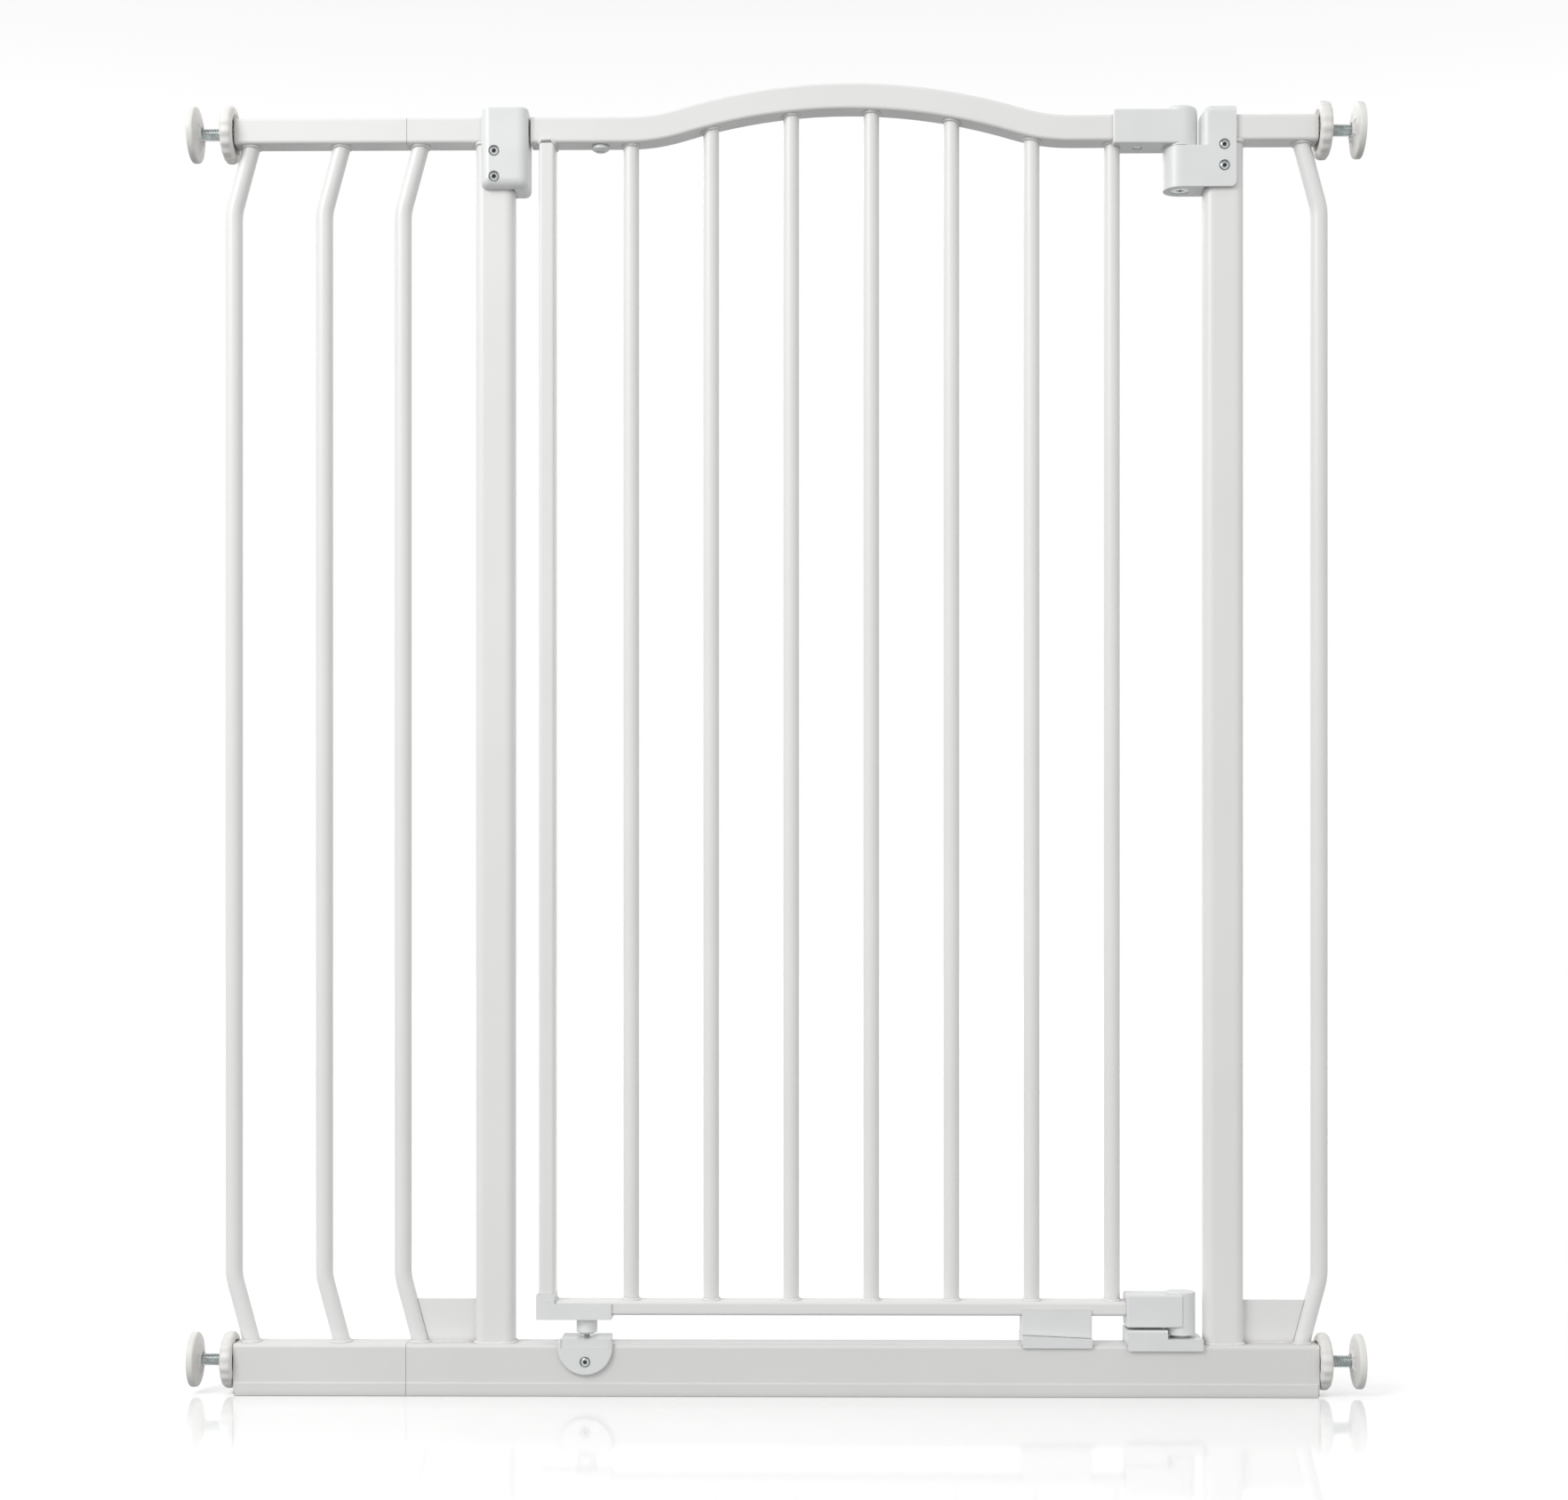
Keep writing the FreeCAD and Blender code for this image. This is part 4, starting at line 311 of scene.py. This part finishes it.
def plated(name, colour, tinted, rough):
    """Zinc-plated steel: bright, faintly blue and yellow in patches, with fine drawn scratches."""
    metal = bpy.data.materials.new(name)
    metal.use_nodes = True
    links = metal.node_tree.links
    shader = metal.node_tree.nodes["Principled BSDF"]
    shader.inputs["Metallic"].default_value = 1.0
    place = seen_through(metal, "ShaderNodeTexCoord")
    patch = seen_through(metal, "ShaderNodeTexNoise", Scale=240.0, Detail=4.0)
    scratch = seen_through(metal, "ShaderNodeTexNoise", Scale=3000.0, Detail=6.0)
    for texture in (patch, scratch):
        links.new(place.outputs["Object"], texture.inputs["Vector"])
    tint = metal.node_tree.nodes.new("ShaderNodeValToRGB")
    tint.color_ramp.elements[0].position = 0.38
    tint.color_ramp.elements[0].color = (*tinted, 1)
    tint.color_ramp.elements[1].position = 0.62
    tint.color_ramp.elements[1].color = (*colour, 1)
    links.new(patch.outputs["Fac"], tint.inputs["Fac"])
    links.new(tint.outputs["Color"], shader.inputs["Base Color"])
    matt = metal.node_tree.nodes.new("ShaderNodeMapRange")
    matt.inputs["To Min"].default_value = rough - 0.08
    matt.inputs["To Max"].default_value = rough + 0.12
    links.new(patch.outputs["Fac"], matt.inputs["Value"])
    links.new(matt.outputs["Result"], shader.inputs["Roughness"])
    bump = seen_through(metal, "ShaderNodeBump", Strength=0.2, Distance=0.00005)
    links.new(scratch.outputs["Fac"], bump.inputs["Height"])
    links.new(bump.outputs["Normal"], shader.inputs["Normal"])
    return metal


plug_plastic = moulded("plug_plastic", (0.74, 0.74, 0.73), 0.42, 0.25)
bright_zinc = plated("bright_zinc", (0.55, 0.585, 0.59), (0.45, 0.485, 0.49), 0.24)
finish_in(plug_plastic, "top_rail_plugs", "base_rail_plugs")
finish_in(bright_zinc, "joiner_sleeves")

# ------------------------------------------------------------------ gate panel
# The swinging panel: an arched square top rail, a flat bottom rail, a latch stile and seven round
# bars, all steel tube, welded and coated in one piece.

gate_bars = [f"gate_bar_{number}" for number in range(1, 8)]
finish_in(white_coat, "gate_top_rail", "gate_bottom_rail", "gate_stile", *gate_bars)
gate_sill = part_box("gate_bottom_rail")[1][2]
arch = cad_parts["gate_top_rail"]
bpy.context.view_layer.update()


def up_to_arch(at):
    """The underside of the arched rail above a point."""
    met, spot, _, _ = arch.ray_cast(Vector((*at, gate_sill)), Vector((0, 0, 1)))
    return spot if met else Vector((*at, rail_under))


beads = ([], [])
for bar in gate_bars + ["gate_stile"]:
    low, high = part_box(bar)
    middle = ((low[0] + high[0]) / 2, 0)
    half_x, half_y = (high[0] - low[0]) / 2, high[1]
    corner = 0.0025 if bar == "gate_stile" else half_x - 1e-5
    outline = loop_round(middle, half_x, min(half_x, half_y) if corner > 0.005 else half_y, corner, 12)
    bead_round(beads, outline, gate_sill, bar_bead)
    lay_bead(beads, [(up_to_arch(at), Vector((*out, 0))) for at, out in outline], bar_bead)
weld_piece("gate_weld_beads", beads, "gate")

# ------------------------------------------------------------------ hinges
# White glass-filled nylon: a bracket on the right post with a fixed knuckle, a cap on the end of
# the arched rail, and a cap and saddle at the foot. Plated pins, turning in natural nylon bushes.

white_moulding = moulded("white_moulding", (0.775, 0.785, 0.785), 0.33, 0.22)
natural_nylon = moulded("natural_nylon", (0.72, 0.70, 0.62), 0.4, 0.2)
finish_in(white_moulding, "hinge_bracket", "upper_hinge_cap", "lower_hinge_cap", "hinge_base")
finish_in(bright_zinc, "upper_hinge_pin", "lower_hinge_pin", "hinge_cap_screw")
finish_in(natural_nylon, "hinge_bushes")

# ------------------------------------------------------------------ frame screws
# Zinc-plated button-head screws, sunk in the counterbores of the housing, the bracket and the
# catch plate. Each has a hexagonal socket and a plain shank that goes into the steel behind.


def joined_rows(rows, sides):
    """Faces between neighbouring rings of points; a ring of one point closes an end."""
    faces = []
    for (here, wide), (there, other) in zip(rows, rows[1:]):
        for side in range(sides):
            nxt = (side + 1) % sides
            if wide == 1:
                faces.append((here, there + nxt, there + side))
            elif other == 1:
                faces.append((here + side, here + nxt, there))
            else:
                faces.append((here + side, here + nxt, there + nxt, there + side))
    return faces


def solid_mesh(name, verts, faces, *materials):
    """A mesh of those faces, all turned outwards."""
    mesh = bpy.data.meshes.new(name)
    mesh.from_pydata(verts, [], faces)
    solid = bmesh.new()
    solid.from_mesh(mesh)
    bmesh.ops.recalc_face_normals(solid, faces=solid.faces)
    solid.to_mesh(mesh)
    solid.free()
    for material in materials:
        mesh.materials.append(material)
    return mesh


def stand_in(name, mesh, node, body):
    """Shows that mesh instead of a CAD node, moving with the node's own body."""
    piece = bpy.data.objects.new(name, mesh)
    bpy.context.scene.collection.objects.link(piece)
    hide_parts(node)
    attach(piece, body)
    return piece


# Painted shade: a near-black copy of the plating stands for the shade inside the hex sockets.
socket_shade_zinc = plated("painted_socket_shade", (0.10, 0.105, 0.11), (0.07, 0.075, 0.08), 0.5)
plain_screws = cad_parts["frame_screws"]
one_screw = 0.008
heads = []
for vertex in plain_screws.data.vertices:
    spot = plain_screws.matrix_world @ vertex.co
    near = [head for head in heads
            if abs(spot.x - head[0].x) < one_screw and abs(spot.z - head[0].z) < one_screw]
    if near:
        near[0][0] = Vector(map(min, near[0][0], spot))
        near[0][1] = Vector(map(max, near[0][1], spot))
    else:
        heads.append([spot.copy(), spot.copy()])
verts, faces = [], []
sides, shank, socket, socket_deep, head_thick = 48, 0.0019, 0.0017, 0.0016, 0.0019
for head_low, head_high in heads:
    middle, radius = (head_low + head_high) / 2, (head_high.x - head_low.x) / 2
    front, length = head_low.y, head_high.y - head_low.y
    rings = [(socket_deep, 0.0, 0), (socket_deep, socket, 1), (0.0001, socket, 1),
             (0.0, socket + 0.0002, 1), (0.0, 0.74 * radius, 0), (0.0003, 0.92 * radius, 0),
             (0.0009, radius, 0), (head_thick, radius, 0), (head_thick, shank, 0),
             (length - 0.0006, shank, 0), (length, 0.0013, 0), (length, 0.0, 0)]
    rows = []
    for depth, reach, hexagonal in rings:
        spread = sides if reach > 0 else 1
        rows.append((len(verts), spread))
        for side in range(spread):
            turn = 2 * math.pi * side / sides
            arm = reach
            if hexagonal:
                arm = reach * math.cos(math.pi / 6) / math.cos(turn % (math.pi / 3) - math.pi / 6)
            verts.append((middle.x + arm * math.cos(turn), front + depth,
                          middle.z + arm * math.sin(turn)))
    faces.extend(joined_rows(rows, sides))
mesh = solid_mesh("socket_screws", verts, faces, bright_zinc, socket_shade_zinc)
per_screw = len(faces) // len(heads)
for number, face in enumerate(mesh.polygons):
    # Each screw's socket floor and walls take the painted socket shade.
    face.material_index = 1 if number % per_screw < 2 * sides else 0
stand_in("socket_screws", mesh, "frame_screws", "frame")

# ------------------------------------------------------------------ latch
# The strike housing is screwed round the left post. The bolt, its plastic guide, the release
# button under the rail and two coil springs sit in the hollow end of the arched rail.

spring_wire = plated("spring_wire", (0.42, 0.42, 0.44), (0.34, 0.34, 0.36), 0.3)
finish_in(white_moulding, "strike_housing", "latch_guide", "release_button")
finish_in(bright_zinc, "latch_bolt", "button_link")
finish_in(spring_wire, "latch_springs")

# ------------------------------------------------------------------ locking foot and stops
# A moulded cap on the gate's lower corner carries a knob on a threaded pin, which stands
# over a catch plate on the base rail. Two slanted blocks near the hinge keep the gate shut.

finish_in(white_moulding, "corner_cap", "height_knob", "catch_plate", "stop_block", "stop_base")

# ------------------------------------------------------------------ threaded spindles
# Rolled thread of 1.5 mm pitch on zinc-plated rod, one at each corner of the frame, and a finer
# one of 0.8 mm pitch on the pin of the foot.


def threaded_rod(name, node, along, pitch, body, depth=0.62):
    """A rod with a real helical thread, as long and as thick as the plain one it stands for."""
    low, high = (Vector(corner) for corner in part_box(node))
    middle = (low + high) / 2
    length = high[along] - low[along]
    radius = min(high[k] - low[k] for k in range(3) if k != along) / 2
    across = [k for k in range(3) if k != along]
    sides, per_turn = 28, 8
    rows = round(length / pitch * per_turn)
    verts, faces = [], []
    for row in range(rows + 1):
        run = length * row / rows
        taper = min(1, 0.4 + run / (2 * pitch), 0.4 + (length - run) / (2 * pitch))
        for side in range(sides):
            turn = 2 * math.pi * side / sides
            phase = (run / pitch - side / sides) % 1
            flank = abs(2 * phase - 1)
            cut = depth * pitch * min(1, max(0, 1.25 * flank - 0.12))
            reach = (radius - cut * 0.9) * (0.7 + 0.3 * taper)
            at = Vector(middle)
            at[along] = low[along] + run
            at[across[0]] += reach * math.cos(turn)
            at[across[1]] += reach * math.sin(turn)
            verts.append(tuple(at))
    for row in range(rows):
        for side in range(sides):
            nxt = (side + 1) % sides
            here = row * sides
            quad = (here + side, here + nxt, here + sides + nxt, here + sides + side)
            faces.append(quad if along != 1 else quad[::-1])
    faces.append(tuple(reversed(range(sides))))
    faces.append(tuple(rows * sides + side for side in range(sides)))
    mesh = bpy.data.meshes.new(name)
    mesh.from_pydata(verts, [], faces)
    mesh.shade_smooth()
    mesh.materials.append(bright_zinc)
    return stand_in(name, mesh, node, body)


corners = [f"{level}_{side}" for level in ("top", "bottom") for side in ("left", "right")]
for corner in corners:
    threaded_rod(f"{corner}_threaded_spindle", f"{corner}_spindle", 0, 0.0015, f"{corner}_spindle")
threaded_rod("foot_threaded_pin", "foot_pin", 2, 0.0008, "foot_pin")

# ------------------------------------------------------------------ hand wheels and wall cups
# White nylon mouldings on the spindles: the hand wheel has a soft wavy rim and ribs on the rail's
# side and turns the spindle out of the rail; the cup pressed on the spindle's end meets the wall.


def soften(line, closed):
    """Cuts the corners of a profile twice over, as the radii of a mould do."""
    for _ in range(2):
        ends = line + line[:1] if closed else line
        cut = []
        for a, b in zip(ends, ends[1:]):
            cut.append(tuple(0.75 * p + 0.25 * q for p, q in zip(a, b)))
            cut.append(tuple(0.25 * p + 0.75 * q for p, q in zip(a, b)))
        line = cut if closed else [line[0]] + cut[1:-1] + [line[-1]]
    return line


def turned(name, node, body, profile, closed, shape):
    """A moulding turned about X, in shares of the node's thickness and radius, then reshaped."""
    low, high = (Vector(corner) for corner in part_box(node))
    outward = 1 if low.x > 0 else -1
    start = low.x if outward > 0 else high.x
    thick, middle = high.x - low.x, (low + high) / 2
    radius = (high.y - low.y) / 2
    sides = 192
    verts, rows = [], []
    for along, reach in soften(profile, closed):
        spread = sides if reach > 0 else 1
        rows.append((len(verts), spread))
        for side in range(spread):
            turn = 2 * math.pi * side / sides
            share, arm = shape(along, reach, turn)
            verts.append((start + outward * share * thick,
                          middle.y + arm * radius * math.sin(turn),
                          middle.z + arm * radius * math.cos(turn)))
    faces = joined_rows(rows + rows[:1] if closed else rows, sides)
    mesh = solid_mesh(name, verts, faces, wheel_moulding)
    mesh.shade_smooth()
    return stand_in(name, mesh, node, body)


waves, braces = 16, 6


def wavy(along, reach, turn):
    """Waves round the wheel's rim, and ribs across the hollow behind it."""
    rim = min(1, max(0, (reach - 0.66) / 0.26))
    hollow = min(1, max(0, 4 * (1 - abs(reach - 0.51) / 0.18)))
    rib = max(0, math.cos(waves * turn)) ** 8
    if along < 0.5:
        along -= 0.17 * hollow * rib
    return along, reach * (1 - 0.034 * rim * (0.5 + 0.5 * math.cos(waves * turn)))


def ribbed(along, reach, turn):
    """Six short ribs that brace the cup's collar against its sloping back."""
    brace = min(1, max(0, 3 * (1 - abs(reach - 0.42) / 0.16)))
    if 0.02 < along < 0.4:
        along -= 0.10 * brace * max(0, math.cos(braces * turn)) ** 14
    return along, reach


wheel_moulding = moulded("wheel_moulding", (0.80, 0.79, 0.765), 0.42, 0.2)
for corner in corners:
    low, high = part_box(f"{corner}_adjuster")
    spindle_low, spindle_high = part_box(f"{corner}_spindle")
    hole = (spindle_high[1] - spindle_low[1]) / (high[1] - low[1]) * 1.006
    turned(f"{corner}_hand_wheel", f"{corner}_adjuster", f"{corner}_adjuster", [
        (0.0, hole), (0.0, 0.33), (0.24, 0.36), (0.24, 0.66), (0.0, 0.70), (0.0, 0.82),
        (0.07, 0.93), (0.24, 1.0), (0.72, 1.0), (0.92, 0.94), (1.0, 0.84), (1.0, 0.74),
        (0.93, 0.60), (0.90, 0.40), (0.97, 0.36), (1.0, 0.33), (1.0, hole)], True, wavy)
    low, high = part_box(f"{corner}_wall_cup")
    hole = (spindle_high[1] - spindle_low[1]) / (high[1] - low[1]) * 1.008
    skin = 0.77
    turned(f"{corner}_wall_foot", f"{corner}_wall_cup", f"{corner}_spindle", [
        (skin, 0.0), (skin, hole), (0.0, hole), (0.0, 0.34), (0.14, 0.38), (0.24, 0.62),
        (0.34, 0.90), (0.40, 0.97), (0.52, 1.0), (0.90, 1.0), (0.985, 0.985), (1.0, 0.95),
        (1.0, 0.5), (1.0, 0.0)], False, ribbed)

# ------------------------------------------------------------------ floor, light and camera
# A plain pale, slightly glossy floor, a white surround that is darker overhead and underfoot, a
# large soft light high on the left, and the camera level in front of the gate.

ground = bpy.data.meshes.new("floor")
reach = 40.0
ground.from_pydata([(-reach, -reach, -0.0005), (reach, -reach, -0.0005),
                    (reach, reach, -0.0005), (-reach, reach, -0.0005)], [], [(0, 1, 2, 3)])
floor = bpy.data.objects.new("floor", ground)
bpy.context.scene.collection.objects.link(floor)
pale = bpy.data.materials.new("pale_floor")
pale.use_nodes = True
polish = pale.node_tree.nodes["Principled BSDF"]
polish.inputs["Base Color"].default_value = (0.93, 0.93, 0.93, 1)
polish.inputs["Roughness"].default_value = 0.07
polish.inputs["IOR"].default_value = 1.38
polish.inputs["Emission Color"].default_value = (1, 1, 1, 1)
polish.inputs["Emission Strength"].default_value = 0.13
ground.materials.append(pale)
floor.visible_diffuse = False

world = bpy.data.worlds.new("studio")
bpy.context.scene.world = world
world.use_nodes = True
sky = world.node_tree
spread = sky.nodes.new("ShaderNodeTexCoord")
split = sky.nodes.new("ShaderNodeSeparateXYZ")
sky.links.new(spread.outputs["Generated"], split.inputs["Vector"])
shade = sky.nodes.new("ShaderNodeValToRGB")
lift = sky.nodes.new("ShaderNodeMapRange")
lift.inputs["From Min"].default_value = -1.0
lift.inputs["From Max"].default_value = 1.0
sky.links.new(split.outputs["Z"], lift.inputs["Value"])
sky.links.new(lift.outputs["Result"], shade.inputs["Fac"])
bands = [(0.0, 0.22), (0.30, 0.26), (0.44, 1.0), (0.66, 1.0), (0.80, 0.62), (1.0, 0.62)]
ramp = shade.color_ramp
while len(ramp.elements) < len(bands):
    ramp.elements.new(0.5)
for element, (height, level) in zip(ramp.elements, bands):
    element.position = height
    element.color = (level, level, level, 1)
sky.links.new(shade.outputs["Color"], sky.nodes["Background"].inputs["Color"])

for name, spot, size, power in (("window_light", (-1.6, -1.7, 2.1), 1.2, 36.0),
                                ("fill_light", (1.8, -1.6, 1.4), 1.6, 1.5),
                                ("back_light", (-0.8, 2.2, 2.4), 1.6, 12.0)):
    lamp = bpy.data.lights.new(name, "AREA")
    lamp.size = size
    lamp.energy = power
    holder = bpy.data.objects.new(name, lamp)
    bpy.context.scene.collection.objects.link(holder)
    holder.location = spot
    holder.rotation_euler = (Vector((0, 0, 0.5)) - Vector(spot)).to_track_quat("-Z", "Y").to_euler()

camera = bpy.data.cameras.new("camera")
camera.lens = 56.2
camera.sensor_width = 36
camera.shift_y = 0.131
eye = bpy.data.objects.new("camera", camera)
bpy.context.scene.collection.objects.link(eye)
eye.location = (0.029, -1.875, 0.335)
eye.rotation_euler = (math.radians(90), 0, math.radians(0.68))
bpy.context.scene.camera = eye
bpy.context.scene.view_settings.view_transform = "Standard"
